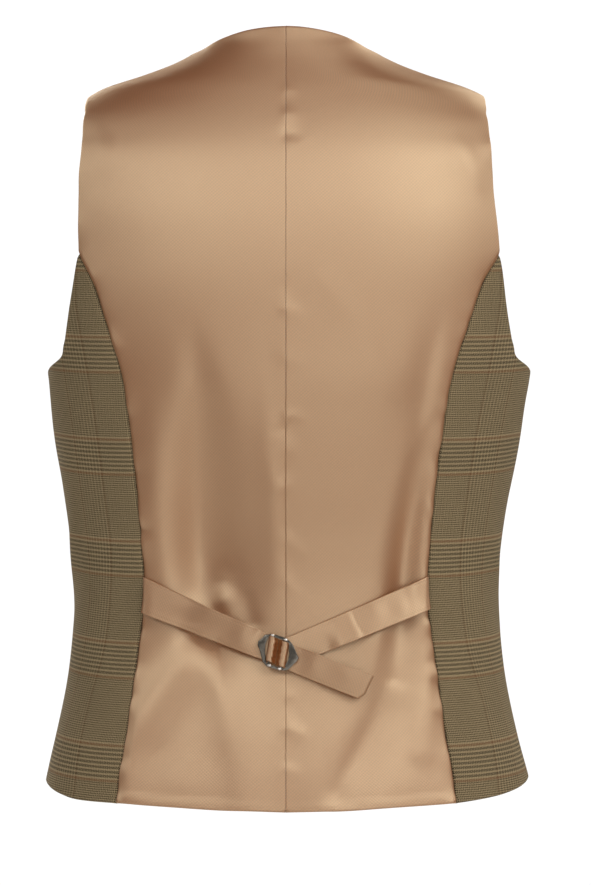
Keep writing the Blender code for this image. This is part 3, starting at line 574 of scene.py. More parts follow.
def inset_rows(outline):
    """Rows of points a little inside the outline, for the rounding of its edge."""
    after, before = np.roll(outline, -1, axis=0), np.roll(outline, 1, axis=0)
    area = np.sum(outline[:, 0] * after[:, 1] - outline[:, 1] * after[:, 0])
    ahead = after - before
    inward = np.stack([-ahead[:, 1], ahead[:, 0]], axis=1) * math.copysign(1.0, area)
    inward /= np.linalg.norm(inward, axis=1, keepdims=True)
    stretch = form_point(*undrawn(outline + inward * NUDGE)) - form_point(*undrawn(outline))
    stretch = np.linalg.norm(stretch, axis=1, keepdims=True) / NUDGE
    rows = []
    for depth in ROW_DEPTHS:
        row = outline + inward * depth / stretch
        clear = nearest_on(row, closed(outline))[0] > 0.9 * depth / stretch[:, 0]
        rows.append(row[clear & inside_outline(row, outline)])
    return np.vstack(rows)


def lattice_inside(outline, step):
    """Staggered points that fill the outline, clear of its edge rows."""
    low, high = outline.min(axis=0), outline.max(axis=0)
    row_step = step * math.sqrt(3) / 2
    rows, columns = int((high[1] - low[1]) / row_step) + 1, int((high[0] - low[0]) / step) + 2
    row, column = np.mgrid[0:rows, 0:columns]
    points = np.stack([low[0] + (column - row % 2 / 2) * step, low[1] + row * row_step], -1).reshape(-1, 2)
    points = points[inside_outline(points, outline)]
    return points[nearest_on(points, closed(outline))[0] > ROW_DEPTHS[-1] + 0.3 * step]


# Relief of the cloth

def crease_rise(spots, marks):
    """How far one crease lifts the cloth at each spot; its two sides may reach differently far."""
    path = curve_through(marks, CREASE_STEP) * MM
    reach = CREASE_END * path[:, 3:].max()
    low, high = path[:, :2].min(axis=0) - reach, path[:, :2].max(axis=0) + reach
    near = np.all((spots > low) & (spots < high), axis=1)
    rise = np.zeros(len(spots))
    if near.any():
        distance, along, turned = nearest_on(spots[near], path[:, :2])
        lengths = length_table(path[:, :2])
        height, left, right = (np.interp(along, lengths, path[:, k]) for k in (2, 3, 4))
        # the reach turns over smoothly from one side to the other
        lean = turned / (abs(turned) + np.diff(lengths).mean() * 2 * MM)
        side = 0.5 + 0.5 * lean
        rise[near] = height * bell(distance, left * side + right * (1 - side))
    return rise


def ripple(along, spacing, seed):
    """An uneven wave along a line, about one unit high."""
    rng = np.random.default_rng(seed)
    count = int(1.2 / spacing) + 4
    places = (np.arange(count) + rng.uniform(-0.35, 0.35, count)) * spacing
    heights = rng.uniform(-1.0, 1.0, count)
    return read_table(places, heights, along)


def edge_ripple(near, edge, height, spacing, reach, seed):
    distance, along = near[edge]
    return height * ripple(along, spacing, seed) * bell(distance, reach)


def strap_bed(across, height):
    """The straps span the troughs of the cloth under them, so only what stands up lifts them."""
    rise = np.zeros(np.broadcast(across, height).shape)
    for fold_rise, half_width, marks in STRAP_BED:
        places, heights = mm(*marks[::-1]).T
        middle = read_table(heights, places, np.clip(height, heights[0], heights[-1]))
        fade = smoothstep(heights[-1] + BED_FADE, heights[-1], height)
        fade = fade * smoothstep(heights[0] - BED_FADE, heights[0], height)
        rise += fold_rise * MM * fade * bell(across - middle, half_width * MM)
    calm = smoothstep(0.0, BED_CALM, side_seam_across(height) - abs(across))
    return np.maximum(rise * calm, 0.0)


def strap_axes(direction):
    """Unit steps along a strap and across it, upwards."""
    run = np.array([direction * math.cos(STRAP_SLOPE), -math.sin(STRAP_SLOPE)])
    return run, np.array([-direction * run[1], direction * run[0]])


def tapered(half_widths, share):
    wide, narrow = half_widths
    return wide + (narrow - wide) * np.clip(share, 0.0, 1.0)


def strap_outside(across, height, start, direction, length, half_widths):
    """How far each place lies outside a strap's outline, on the flat."""
    run, breadth = strap_axes(direction)
    off = np.stack([across - start[0], height - start[1]], axis=-1)
    along = off @ run
    beside = np.maximum(abs(off @ breadth) - tapered(half_widths, along / length), 0.0)
    beyond = np.maximum(np.maximum(along - length, -along - STRAP_HIDDEN_END), 0.0)
    return np.hypot(beside, beyond)


def pressed(rise, across, height):
    """The cloth held down where the straps lie on it, and free a little way off."""
    left = strap_outside(across, height, LEFT_STRAP_START, -1, LEFT_RUN, LEFT_STRAP_HALF_WIDTHS)
    right = strap_outside(across, height, RIGHT_STRAP_START, 1, RIGHT_STRAP_LENGTH, RIGHT_STRAP_HALF_WIDTHS)
    room = strap_bed(across, height) + BED_CLEARANCE + BED_SLOPE * np.minimum(left, right)
    return 0.5 * (rise + room - np.sqrt((rise - room) ** 2 + BED_BLEND**2))


def back_relief(side, points, near):
    spots = points[:, [0, 2]]
    rise = sum(crease_rise(spots, marks) for marks in BACK_CREASES.values())
    rise = rise * smoothstep(0.0, SEAM_CALM, near["side"][0])
    rise += sum(crease_rise(spots, marks) for marks in SEAM_PUCKERS)
    away = smoothstep(SIDE_RIPPLE_FROM, SIDE_RIPPLE_TO, near["armhole"][0])
    rise += away * edge_ripple(near, *SIDE_RIPPLE[:-1], SIDE_RIPPLE[-1] + side)
    rise += edge_ripple(near, *CENTRE_RIPPLE)
    for *wave, seed in BACK_RIPPLES:
        rise += edge_ripple(near, *wave, seed + side)
    rise += HEM_RELIEF * smoothstep(HEM_DEPTH + HEM_TURN, HEM_DEPTH - HEM_TURN, near["hem"][0])
    return pressed(rise, *spots.T)


def front_relief(side, points, near):
    spots = np.stack([near["turn"] * TURN_RADIUS, points[:, 2]], axis=1)
    rise = np.zeros(len(points))
    for marks in FRONT_CREASES[side].values():
        marks = [(math.radians(turn) * TURN_RADIUS / MM, *rest) for turn, *rest in marks]
        rise += crease_rise(spots, marks)
    rise *= smoothstep(0.0, SEAM_CALM, near["side"][0]) * smoothstep(0.0, ARMHOLE_CALM, near["armhole"][0])
    for *wave, seed in FRONT_RIPPLES:
        rise += edge_ripple(near, *wave, seed + side)
    return rise + front_lift(side * near["turn"], points[:, 0])


# Building the cloth

CENTRE_ANGLES = np.linspace(-0.2 * math.pi, 1.3 * math.pi, 1200)
ROUND_LENGTHS = length_table(form_point(CENTRE_ANGLES, REFERENCE_HEIGHT))
ROUND_LENGTHS -= np.interp(0.0, CENTRE_ANGLES, ROUND_LENGTHS)
HEIGHT_STEPS = np.linspace(-0.60, 0.05, 1300)
FRONT_LENGTHS = length_table(form_point(FRONT_MERIDIAN, HEIGHT_STEPS))
BACK_LENGTHS = length_table(form_point(0.0, HEIGHT_STEPS))


def length_up(across, low, high):
    """The length of the front's surface straight up from one height to another."""
    steps = [low + (high - low) * share for share in np.linspace(0.0, 1.0, 25)]
    places = [form_point(front_turn(across, at), at) for at in steps]
    return sum(np.linalg.norm(b - a, axis=-1) for a, b in zip(places, places[1:]))


def wool_cloth(turn, height):
    """Places on the wool in metres of warp and weft: the weft bands rise away from the side seam,
    and the warp follows the grain that each height was cut to. Above the chest both run straight."""
    low = np.minimum(height, CHEST_HEIGHT)
    across = abs(form_point(turn, height)[..., 0])
    over = length_up(across, low, height)
    turn = np.where(height > CHEST_HEIGHT, front_turn(across, low), turn)
    heights, degrees = np.array(GRAIN).T
    lean = read_table(heights, degrees, np.clip(low, heights[0], heights[-1])) - GRAIN_TURN
    fade = smoothstep(GRAIN_FADE_TO, GRAIN_FADE_FROM, turn)
    middle = np.interp(math.radians(GRAIN_TURN), CENTRE_ANGLES, ROUND_LENGTHS)
    u = np.interp(turn - np.radians(lean) * fade, CENTRE_ANGLES, ROUND_LENGTHS) - middle
    raised = low - BAND_RISE * smoothstep(BAND_RISE_FROM, BAND_RISE_TO, turn)
    v = np.interp(raised, HEIGHT_STEPS, FRONT_LENGTHS)
    return u, v + over - np.interp(BAND_HEIGHT, HEIGHT_STEPS, FRONT_LENGTHS)


def satin_cloth(turn, height):
    return np.interp(turn, CENTRE_ANGLES, ROUND_LENGTHS), np.interp(height, HEIGHT_STEPS, BACK_LENGTHS)


def placed(name, data):
    thing = bpy.data.objects.new(name, data)
    bpy.context.scene.collection.objects.link(thing)
    return thing


def meshed(form, name):
    mesh = bpy.data.meshes.new(name)
    form.to_mesh(mesh)
    form.free()
    return mesh


def show(name, mesh, materials, node, sharp=None):
    """A shown piece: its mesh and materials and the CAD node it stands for."""
    for material in materials:
        mesh.materials.append(material)
    mesh.shade_smooth()
    if sharp:
        mesh.set_sharp_from_angle(angle=math.radians(sharp))
    piece = placed(name, mesh)
    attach(piece, "root")
    if node:
        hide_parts(node)
    return piece


def show_wall(node, slot, material, outer, inner, triangles, uvs):
    """A piece of cloth: an outer face, an inner one turned round, and a rim."""
    shift = len(outer)
    edges = {(a, b) for face in triangles.tolist() for a, b in zip(face, face[1:] + face[:1])}
    rim = [(b, a, a + shift, b + shift) for a, b in edges if (b, a) not in edges]
    faces = triangles.tolist() + (triangles[:, ::-1] + shift).tolist() + sorted(rim)
    mesh = bpy.data.meshes.new(f"{node}_{slot}")
    mesh.from_pydata(np.vstack([outer, inner]), [], faces)
    corners = np.empty(len(mesh.loops), np.int32)
    mesh.loops.foreach_get("vertex_index", corners)
    for layer, values in uvs.items():
        mesh.uv_layers.new(name=layer)
        values = np.vstack([values, values]).astype(np.float32)
        mesh.uv_layers[layer].data.foreach_set("uv", values[corners].ravel())
    return show(f"{node}_{slot}", mesh, [material], node)


def rounded(distance, reach, fullness):
    """How much of its thickness the cloth keeps this near to an edge."""
    return np.sqrt(1 - (1 - np.clip(distance / reach, 0, 1)) ** 2 * fullness)


def lay_panel(node, slot, curves, step, side, seams, relief, cloth, material):
    """One panel of cloth on the form, drawn for the +X side and mirrored for the other."""
    outline = np.vstack([curve[:-1] for curve in curves.values()])
    plan = np.vstack([outline, inset_rows(outline), lattice_inside(outline, step)])
    found = delaunay_2d_cdt([Vector(p) for p in plan], [], [list(range(len(outline)))], 1, 1e-7)
    turn, height = undrawn(np.array([tuple(p) for p in found[0]]))
    points = form_point(side * turn, height)
    normals = form_normal(side * turn, height)
    near = {"turn": turn}
    for name, curve in curves.items():
        curve_turn, curve_height = undrawn(curve)
        near[name] = nearest_on(points, form_point(side * curve_turn, curve_height))[:2]
    free = np.min([near[name][0] for name in curves if name not in seams], axis=0)
    seam = np.min([near[name][0] for name in seams if name != "centre"], axis=0)
    rise = relief(side, points, near) - SEAM_DIP * bell(seam, SEAM_DIP_REACH)
    if "centre" in seams:
        rise = rise - CENTRE_DIP * bell(near["centre"][0], CENTRE_DIP_REACH)
    rounding = CLOTH_WALL * EDGE_SHARE * (1 - rounded(free, EDGE_ROUND, EDGE_FULLNESS))
    u, v = cloth(turn, height)
    first = min(seams, key=lambda name: name != "centre")
    uvs = {
        "cloth": np.stack([side * u if slot == "satin" else u, v], axis=1),
        "seam": np.stack(near[first], axis=1),
    }
    return show_wall(node, slot, material, points + normals * (rise - rounding)[:, None],
                     points + normals * (rise - CLOTH_WALL + rounding)[:, None],
                     np.array(found[2])[:, ::-side], uvs)


# Straps

def strap_spot(start, direction, along, across):
    run, breadth = strap_axes(direction)
    x, z = (start[k] + along * run[k] + across * breadth[k] for k in (0, 1))
    return back_turn(x, z), z


def seam_start(start, direction, across):
    """How far the side seam lies along a strap's line, at this place across the strap."""
    along = np.zeros_like(across)
    for _ in range(8):
        turn, height = strap_spot(start, direction, along, across)
        along += abs(form_point(turn, height)[..., 0]) - (side_seam_across(height) - STRAP_END_INSET)
    return along


def loop_over(bar, radius):
    """The strap's way up and over one bar of the buckle, and its way over and down again."""
    floor = STRAP_ABOVE_STRAP + STRAP_WALL / 2
    foot = radius + LOOP_FILLET
    rise = [(-foot + LOOP_FILLET * math.sin(a), floor + LOOP_FILLET * (1 - math.cos(a)))
            for a in (math.pi / 2 * k / 4 for k in range(5))]
    crown = [(math.copysign(radius * abs(math.cos(a)) ** LOOP_SQUARENESS, -math.cos(a)),
              LOOP_TOP + radius * (math.sin(a) - 1)) for a in (math.pi * k / 14 for k in range(15))]
    up = [(bar + along, lift) for along, lift in (*rise, *crown)]
    return up, [(2 * bar - along, lift) for along, lift in reversed(up)]


def left_strap_path():
    """The left strap's way along the back, over both bars of the buckle and on as its tail."""
    low, high = (clearance + STRAP_WALL / 2 for clearance in (STRAP_CLEARANCE, STRAP_ABOVE_STRAP))
    first, second = (LEFT_RUN + bar for bar in BAR_PLACES)
    before, after = (np.linspace(start, end, round((end - start) / STRAP_STEP) + 1) for start, end in (
        (0.0, first - PLATE_REACH), (second + PLATE_REACH, LEFT_RUN + TAIL_LENGTH)))
    climb = low + (high - low) * smoothstep(LEFT_RUN - STRAP_RISE, LEFT_RUN - LOOP_SPREAD, before)
    return np.vstack([
        np.stack([before, climb], axis=1),
        loop_over(first, LOOP_RADII[0])[0],
        LOOP_DIP + ((first + second) / 2, low),
        loop_over(second, LOOP_RADII[1])[1],
        np.stack([after, np.full(len(after), high)], axis=1),
    ])


def lay_strap(node, start, direction, path, half_width, end_cut, waves, material):
    """A strap: rounded edges, two rows of edge stitching and its own creases."""
    ahead = np.vstack([path[1:2] - path[:1], path[2:] - path[:-2], path[-1:] - path[-2:-1]])
    ahead /= np.linalg.norm(ahead, axis=1, keepdims=True)
    along, lift = path[:, :1], path[:, 1:]
    travelled = length_table(path)[:, None]
    half = half_width(along)
    across = half * np.sin(np.linspace(-math.pi / 2, math.pi / 2, STRAP_COLUMNS + 1))
    edge = half - abs(across)
    end = np.minimum(travelled + STRAP_START_ALLOWANCE, travelled[-1] - travelled)
    full = STRAP_WALL / 2 * rounded(edge, STRAP_EDGE_ROUND, STRAP_EDGE_FULLNESS)
    full = full * rounded(end, STRAP_END_ROUND, STRAP_END_FULLNESS)
    full = full - STRAP_STITCH_DIP * bell(edge - STRAP_STITCH_INSET, STRAP_STITCH_REACH)
    wave = waves(along, across)
    faces_at = []
    for thick in (full, -full):
        turn, height = strap_spot(start, direction, end_cut(along - ahead[:, 1:] * thick, across), across)
        point = form_point(turn, height)
        place = strap_bed(point[..., 0], height) + lift + ahead[:, :1] * thick + wave
        faces_at.append((point + form_normal(turn, height) * place[..., None]).reshape(-1, 3))
    corner = np.arange(across.size).reshape(across.shape)
    a, b = corner[:-1, :-1].ravel(), corner[1:, :-1].ravel()
    triangles = np.vstack([np.stack([a, b, b + 1], 1), np.stack([a, b + 1, a + 1], 1)])[:, ::-direction]
    uvs = {
        layer: np.stack(np.broadcast_arrays(distance, travelled), -1).reshape(-1, 2)
        for layer, distance in (("cloth", across), ("seam", edge + NO_SEAM))
    }
    return show_wall(node, "satin", material, *faces_at, triangles, uvs)


def bumps(along, across, rows):
    return sum(rise * bell(along - place, reach) * bell(across - middle, breadth)
               for rise, place, reach, middle, breadth in rows)


def left_strap(material):
    def half_width(along):
        usual = tapered(LEFT_STRAP_HALF_WIDTHS, along / LEFT_RUN)
        squeeze = smoothstep(SQUEEZE_FROM, SQUEEZE_TO, abs(along - LEFT_RUN))
        return usual + (IN_BUCKLE_HALF_WIDTH - usual) * squeeze

    def slanted(along, across):
        past = along - LEFT_RUN
        to_seam = seam_start(LEFT_STRAP_START, -1, across) * smoothstep(SLANT_REACH, 0.0, along)
        shear = BUCKLE_SHEAR * smoothstep(SHEAR_FROM, SHEAR_TO, abs(past))
        corner = TAIL_CORNER * smoothstep(*TAIL_CORNER_BREADTH, -across) * smoothstep(*TAIL_CORNER_RUN, past)
        frill = LOOP_FRILL * np.sin(across * math.tau / LOOP_FRILL_PITCH)
        frill = frill * smoothstep(SQUEEZE_TO, FRILL_TO, abs(past))
        return along + to_seam - shear * across - corner + frill

    def waves(along, across):
        past = along - LEFT_RUN
        below, above = half_width(along) - across, half_width(along) + across
        rise = bumps(along, across, LEFT_STRAP_BUMPS)
        share = np.clip((past - TAIL_LIFT_FROM) / (TAIL_LENGTH - TAIL_LIFT_FROM), 0.0, 1.0)
        rise = rise + TAIL_LIFT * share**TAIL_CURL
        rise = rise + TAIL_TILT * above * smoothstep(*TAIL_TILT_IN, past)
        low_tilt = smoothstep(*LOW_TILT_IN, along) * smoothstep(*LOW_TILT_OUT, along)
        high_tilt = smoothstep(*HIGH_TILT_IN, along) * smoothstep(*HIGH_TILT_OUT, along)
        rise = rise + LEFT_LOW_TILT * below * low_tilt + LEFT_HIGH_TILT * above * high_tilt
        return np.maximum(rise, LOWEST_WAVE) * smoothstep(*OUT_OF_BUCKLE, abs(past))

    path = left_strap_path()
    return lay_strap("strap_left", LEFT_STRAP_START, -1, path, half_width, slanted, waves, material)


def right_strap(material):
    lengths = np.linspace(0.0, RIGHT_STRAP_LENGTH, round(RIGHT_STRAP_LENGTH / STRAP_STEP) + 1)
    path = np.stack([lengths, np.full(len(lengths), STRAP_CLEARANCE + STRAP_WALL / 2)], axis=1)

    def half_width(along):
        return tapered(RIGHT_STRAP_HALF_WIDTHS, along / RIGHT_STRAP_LENGTH)

    def to_seam(along, across):
        return along + seam_start(RIGHT_STRAP_START, 1, across) * smoothstep(SLANT_REACH, 0.0, along)

    def waves(along, across):
        pucker = ripple(along, PUCKER_SPACING, PUCKER_SEED) * smoothstep(*PUCKER_BREADTH, -across)
        rise = bumps(along, across, RIGHT_STRAP_BUMPS)
        rise = rise + PUCKER_RISE * smoothstep(*PUCKER_IN, along) * pucker
        rise = rise + RIGHT_LOW_TILT * (half_width(along) - across) * smoothstep(*RIGHT_TILT_IN, along)
        return rise * (1 - smoothstep(*UNDER_LEFT_STRAP, along))

    return lay_strap("strap_right", RIGHT_STRAP_START, 1, path, half_width, to_seam, waves, material)


# Buckle, buttons and buttonholes

def frame_on_form(turn, height, lift, base):
    """A placing whose Z leaves the cloth squarely and whose X runs level."""
    normal = Vector(form_normal(turn, height))
    level = Vector((0.0, 0.0, 1.0)).cross(normal).normalized()
    axes = Matrix((level, normal.cross(level), normal)).transposed().to_4x4()
    place = Vector(form_point(turn, height)) + normal * (base + lift)
    return Matrix.Translation(place) @ axes


def add_outline(curve, points):
    spline = curve.splines.new("POLY")
    spline.points.add(len(points) - 1)
    for point, (across, up) in zip(spline.points, points):
        point.co = (-across, up, 0.0, 1.0)
    spline.use_cyclic_u = True


def bar_edge(bar, side_of_bar):
    """The top and bottom of one edge of a bar, on the inner edges of the frame."""
    cosine, sine = math.cos(STRAP_SLOPE), math.sin(STRAP_SLOPE)
    slant = (sine - BUCKLE_SHEAR * cosine) / (cosine + BUCKLE_SHEAR * sine)
    place = bar + side_of_bar * BAR_HALF_WIDTH
    ends = []
    for left, right in (BUCKLE_TOP_INNER, BUCKLE_BOTTOM_INNER):
        up = (left[1] + right[1]) / 2
        across = -place * cosine - slant * (up + place * sine)
        share = (across - left[0]) / (right[0] - left[0])
        ends.append((across, left[1] + (right[1] - left[1]) * share))
    return ends


def mesh_of(thing):
    """The evaluated mesh of a helper object, which is then removed."""
    bpy.context.view_layer.update()
    graph = bpy.context.evaluated_depsgraph_get()
    mesh = bpy.data.meshes.new_from_object(thing.evaluated_get(graph))
    bpy.data.objects.remove(thing)
    return mesh


def buckle(plating, polished):
    """A flat frame with two plates, two upright bars and the rounded ends of their pins."""
    curve = bpy.data.curves.new("buckle_outline", "CURVE")
    curve.dimensions, curve.fill_mode = "2D", "BOTH"
    curve.extrude = BUCKLE_WALL / 2 - BUCKLE_EDGE_ROUND
    curve.bevel_depth, curve.bevel_resolution = BUCKLE_EDGE_ROUND, 2
    curve.offset = -BUCKLE_EDGE_ROUND
    left_bar, right_bar = BAR_PLACES
    add_outline(curve, BUCKLE_OUTLINE)
    add_outline(curve, [*LEFT_PLATE_INNER, *reversed(bar_edge(left_bar, -1))])
    add_outline(curve, [*bar_edge(left_bar, 1), *reversed(bar_edge(right_bar, -1))])
    add_outline(curve, [*RIGHT_PLATE_INNER, *reversed(bar_edge(right_bar, 1))])
    form = bmesh.new()
    form.from_mesh(mesh_of(placed("buckle_helper", curve)))
    bmesh.ops.remove_doubles(form, verts=form.verts, dist=TINY)
    for across, up in KNUCKLES:
        pin = Matrix.Translation((-across, up, BUCKLE_WALL * KNUCKLE_HEIGHT)) @ Matrix.Diagonal(KNUCKLE_SHAPE)
        ball = bmesh.ops.create_uvsphere(form, u_segments=20, v_segments=12, radius=KNUCKLE_RADIUS,
                                         matrix=pin)
        for face in {face for vert in ball["verts"] for face in vert.link_faces}:
            face.material_index = 1
    height = BUCKLE_CENTRE[1]
    turn = back_turn(BUCKLE_CENTRE[0], height)
    base = strap_bed(form_point(turn, height)[0], height)
    form.transform(frame_on_form(turn, height, BUCKLE_LIFT + BUCKLE_WALL / 2, float(base)))
    return show("buckle_metal", meshed(form, "buckle_metal"), (plating, polished), "buckle", 50)


def button_form():
    """A turned button with a rounded rim, pierced by four thread holes."""
    form = bmesh.new()
    verts = [form.verts.new((radius, 0.0, up)) for radius, up in BUTTON_PROFILE]
    edges = [form.edges.new(pair) for pair in zip(verts, verts[1:])]
    bmesh.ops.spin(form, geom=[*verts, *edges], cent=(0, 0, 0), axis=(0, 0, 1),
                   angle=math.tau, steps=BUTTON_STEPS, use_merge=True)
    bmesh.ops.remove_doubles(form, verts=form.verts, dist=TINY)
    bmesh.ops.recalc_face_normals(form, faces=form.faces)
    blank = placed("button_blank", meshed(form, "button_disc"))
    drills = bmesh.new()
    for across, up in HOLE_SPOTS:
        spot = Matrix.Translation((across, up, 0.0))
        bmesh.ops.create_cone(drills, cap_ends=True, segments=20, radius1=BUTTON_HOLE_RADIUS,
                              radius2=BUTTON_HOLE_RADIUS, depth=0.02, matrix=spot)
    drill = placed("button_drills", meshed(drills, "button_drills"))
    cut = blank.modifiers.new("holes", "BOOLEAN")
    cut.operation, cut.object = "DIFFERENCE", drill
    mesh = mesh_of(blank)
    bpy.data.objects.remove(drill)
    mesh.materials.clear()
    mesh.name = "button_horn"
    return mesh


def tube(form, points, radius, sides=8):
    """A round thread along points, with closed ends."""
    points = [Vector(point) for point in points]
    rings = []
    for i, point in enumerate(points):
        ahead = (points[min(i + 1, len(points) - 1)] - points[max(i - 1, 0)]).normalized()
        helper = Vector((0.0, 0.0, 1.0)) if abs(ahead.z) < 0.8 else Vector((1.0, 0.0, 0.0))
        one = ahead.cross(helper).normalized()
        two = ahead.cross(one)
        rings.append([form.verts.new(point + (one * math.cos(a) + two * math.sin(a)) * radius)
                      for a in (math.tau * k / sides for k in range(sides))])
    for low, high in zip(rings, rings[1:]):
        for k in range(sides):
            form.faces.new((low[k], low[(k + 1) % sides], high[(k + 1) % sides], high[k]))
    form.faces.new(rings[0][::-1])
    form.faces.new(rings[-1])


def lapped_place(across, height, lift):
    """A point above the left front's outer face, near the centre front."""
    turn = math.pi + back_turn(-across, height) if across < 0 else math.pi - back_turn(across, height)
    point = form_point(turn, height)
    rise = float(front_lift(turn, point[0])) + lift
    return Vector(point + form_normal(turn, height) * rise)


def buttons(horn, thread):
    """Five buttons with the threads that hold them."""
    disc = button_form()
    for number, height in enumerate(BUTTON_HEIGHTS, 1):
        name = f"button_{number}"
        place = frame_on_form(math.pi, height, BUTTON_CLEARANCE, LAP_LIFT)
        own = disc.copy()
        own.transform(place)
        show(f"{name}_horn", own, [horn], name, 55)
        form = bmesh.new()
        for first, second in ((0, 1), (3, 2)):
            (x0, y0), (x1, y1) = HOLE_SPOTS[first], HOLE_SPOTS[second]
            for shift in (-THREAD_SHIFT, THREAD_SHIFT):
                shares = (k / THREAD_STEPS for k in range(THREAD_STEPS + 1))
                arc = [(x0 + (x1 - x0) * share, y0 + (y1 - y0) * share + shift,
                        THREAD_FOOT + THREAD_RISE * math.sin(math.pi * share) ** 0.5) for share in shares]
                tube(form, arc, THREAD_RADIUS)
        form.transform(place)
        show(f"{name}_thread", meshed(form, f"{name}_thread"), [thread], None)


def buttonholes(thread):
    """Worked holes in the left front, each rimmed with close stitches."""
    form = bmesh.new()
    middle, reach = (HOLE_FROM + HOLE_TO) / 2, (HOLE_TO - HOLE_FROM) / 2
    for height in BUTTON_HEIGHTS:
        rim = []
        for k in range(PURLS + 1):
            cosine, sine = math.cos(math.tau * k / PURLS), math.sin(math.tau * k / PURLS)
            x = middle + reach * math.copysign(abs(cosine) ** 0.55, cosine)
            z = height + HOLE_HALF_HEIGHT * math.copysign(abs(sine) ** 0.45, sine)
            rim.append(lapped_place(x, z, PURL_LIFT + PURL_HEIGHT * (-1) ** k))
        tube(form, rim, PURL_RADIUS)
    return show("buttonhole_stitches", meshed(form, "buttonhole_stitches"), [thread], None)


# Finishes

class Value:
    """What a node gives out, for use in plain arithmetic."""

    def __init__(self, look, socket):
        self.look, self.socket = look, socket

    def __add__(self, other):
        return self.look.math("ADD", self, other)

    def __sub__(self, other):
        return self.look.math("SUBTRACT", self, other)

    def __rsub__(self, other):
        return self.look.math("SUBTRACT", other, self)

    def __mul__(self, other):
        return self.look.math("MULTIPLY", self, other)

    def __truediv__(self, other):
        return self.look.math("DIVIDE", self, other)

    def __mod__(self, other):
        return self.look.math("FLOORED_MODULO", self, other)

    def __lt__(self, other):
        return self.look.math("LESS_THAN", self, other)


class Finish:
    """A material and short ways to add nodes to it."""

    def __init__(self, name, **surface):
        self.material = bpy.data.materials.new(name)
        self.material.use_nodes = True
        self.tree = self.material.node_tree
        self.surface = self.tree.nodes["Principled BSDF"]
        self.set(**surface)

    def feed(self, node, inputs):
        for key, value in inputs.items():
            socket = node.inputs[key]
            if isinstance(value, Value):
                self.tree.links.new(value.socket, socket)
            else:
                socket.default_value = value

    def add(self, kind, inputs, output=0, **settings):
        node = self.tree.nodes.new(kind)
        for key, value in settings.items():
            setattr(node, key, value)
        self.feed(node, inputs)
        return Value(self, node.outputs[output])

    def math(self, operation, *values):
        return self.add("ShaderNodeMath", dict(enumerate(values)), operation=operation)

    def uv(self, layer):
        place = self.add("ShaderNodeUVMap", {}, uv_map=layer)
        return [self.add("ShaderNodeSeparateXYZ", {0: place}, axis) for axis in (0, 1)]

    def mix(self, factor, low, high):
        low, high = (end if isinstance(end, Value) else (*end, 1.0) for end in (low, high))
        return self.add("ShaderNodeMix", {0: factor, 6: low, 7: high}, 2, data_type="RGBA")

    def noise(self, scale, detail=2.0, roughness=0.5, stretch=(1.0, 1.0, 1.0)):
        place = self.add("ShaderNodeTexCoord", {}, "Object")
        place = self.add("ShaderNodeMapping", {"Vector": place, "Scale": stretch})
        inputs = {"Vector": place, "Scale": scale, "Detail": detail, "Roughness": roughness}
        return self.add("ShaderNodeTexNoise", inputs, "Fac")

    def ramp(self, value, low, high):
        inputs = {"Value": value, "From Min": low, "From Max": high}
        return self.add("ShaderNodeMapRange", inputs, interpolation_type="SMOOTHSTEP")

    def spread(self, value, low, high):
        return self.add("ShaderNodeMapRange", {"Value": value, "To Min": low, "To Max": high})

    def bump(self, height, distance, strength=1.0, after=None):
        inputs = {"Height": height, "Distance": distance, "Strength": strength}
        return self.add("ShaderNodeBump", inputs | ({"Normal": after} if after else {}))

    def set(self, **inputs):
        self.feed(self.surface, {key.replace("_", " "): value for key, value in inputs.items()})
        return self.material


def stitches(look, reach, dash):
    """Where the dashes of thread show beside a seam."""
    distance, along = look.uv("seam")
    dot = look.math("SINE", along * (math.tau / STITCH_PITCH))
    return (1.0 - look.ramp(distance, *reach)) * look.ramp(dot, *dash)


def satin(name, painted_shade_scale):
    """Bronze satin: a fine slanting twill, glossy along the weft, darker where it is stitched."""
    # a scale below one darkens the colour and the specular tint together: painted shade
    look = Finish(name, Roughness=0.50, Anisotropic=0.60, IOR=2.50, Specular_IOR_Level=1.0,
                  Specular_Tint=(painted_shade_scale, 0.82 * painted_shade_scale, 0.54 * painted_shade_scale, 1.0))
    u, v = look.uv("cloth")
    waves = math.tau / (TWILL_PITCH * math.sqrt(2))
    wander = look.noise(70.0, 3.0) * 1.6
    slant, cross = (look.math("SINE", way * waves + wander) for way in (u + v, u - v))
    twill = slant * 0.6 + cross * 0.4
    grain = look.noise(1400.0, 2.0, 0.6)
    drift = look.ramp(look.noise(5.5, 1.0), 0.38, 0.62)
    colour = look.mix(drift, (0.335 * painted_shade_scale, 0.080 * painted_shade_scale, 0.018 * painted_shade_scale),
                      (0.330 * painted_shade_scale, 0.085 * painted_shade_scale, 0.018 * painted_shade_scale))
    dark = 1.0 - look.ramp(twill * 0.5 + (grain - 0.5), -0.7, 0.7)
    colour = look.mix(dark * 0.85, colour, (0.120, 0.026, 0.007))
    stitch = stitches(look, (0.0001, 0.0006), (-0.2, 0.7))
    colour = look.mix(stitch * 0.50, colour, (0.12, 0.045, 0.018))
    normal = look.bump(twill, 0.00005, 0.5)
    normal = look.bump(grain, 0.00008, 0.6, normal)
    normal = look.bump(stitch, -0.0003, 0.6, normal)
    tangent = look.add("ShaderNodeTangent", {}, direction_type="UV_MAP", uv_map="cloth")
    return look.set(Base_Color=colour, Normal=normal, Tangent=tangent)


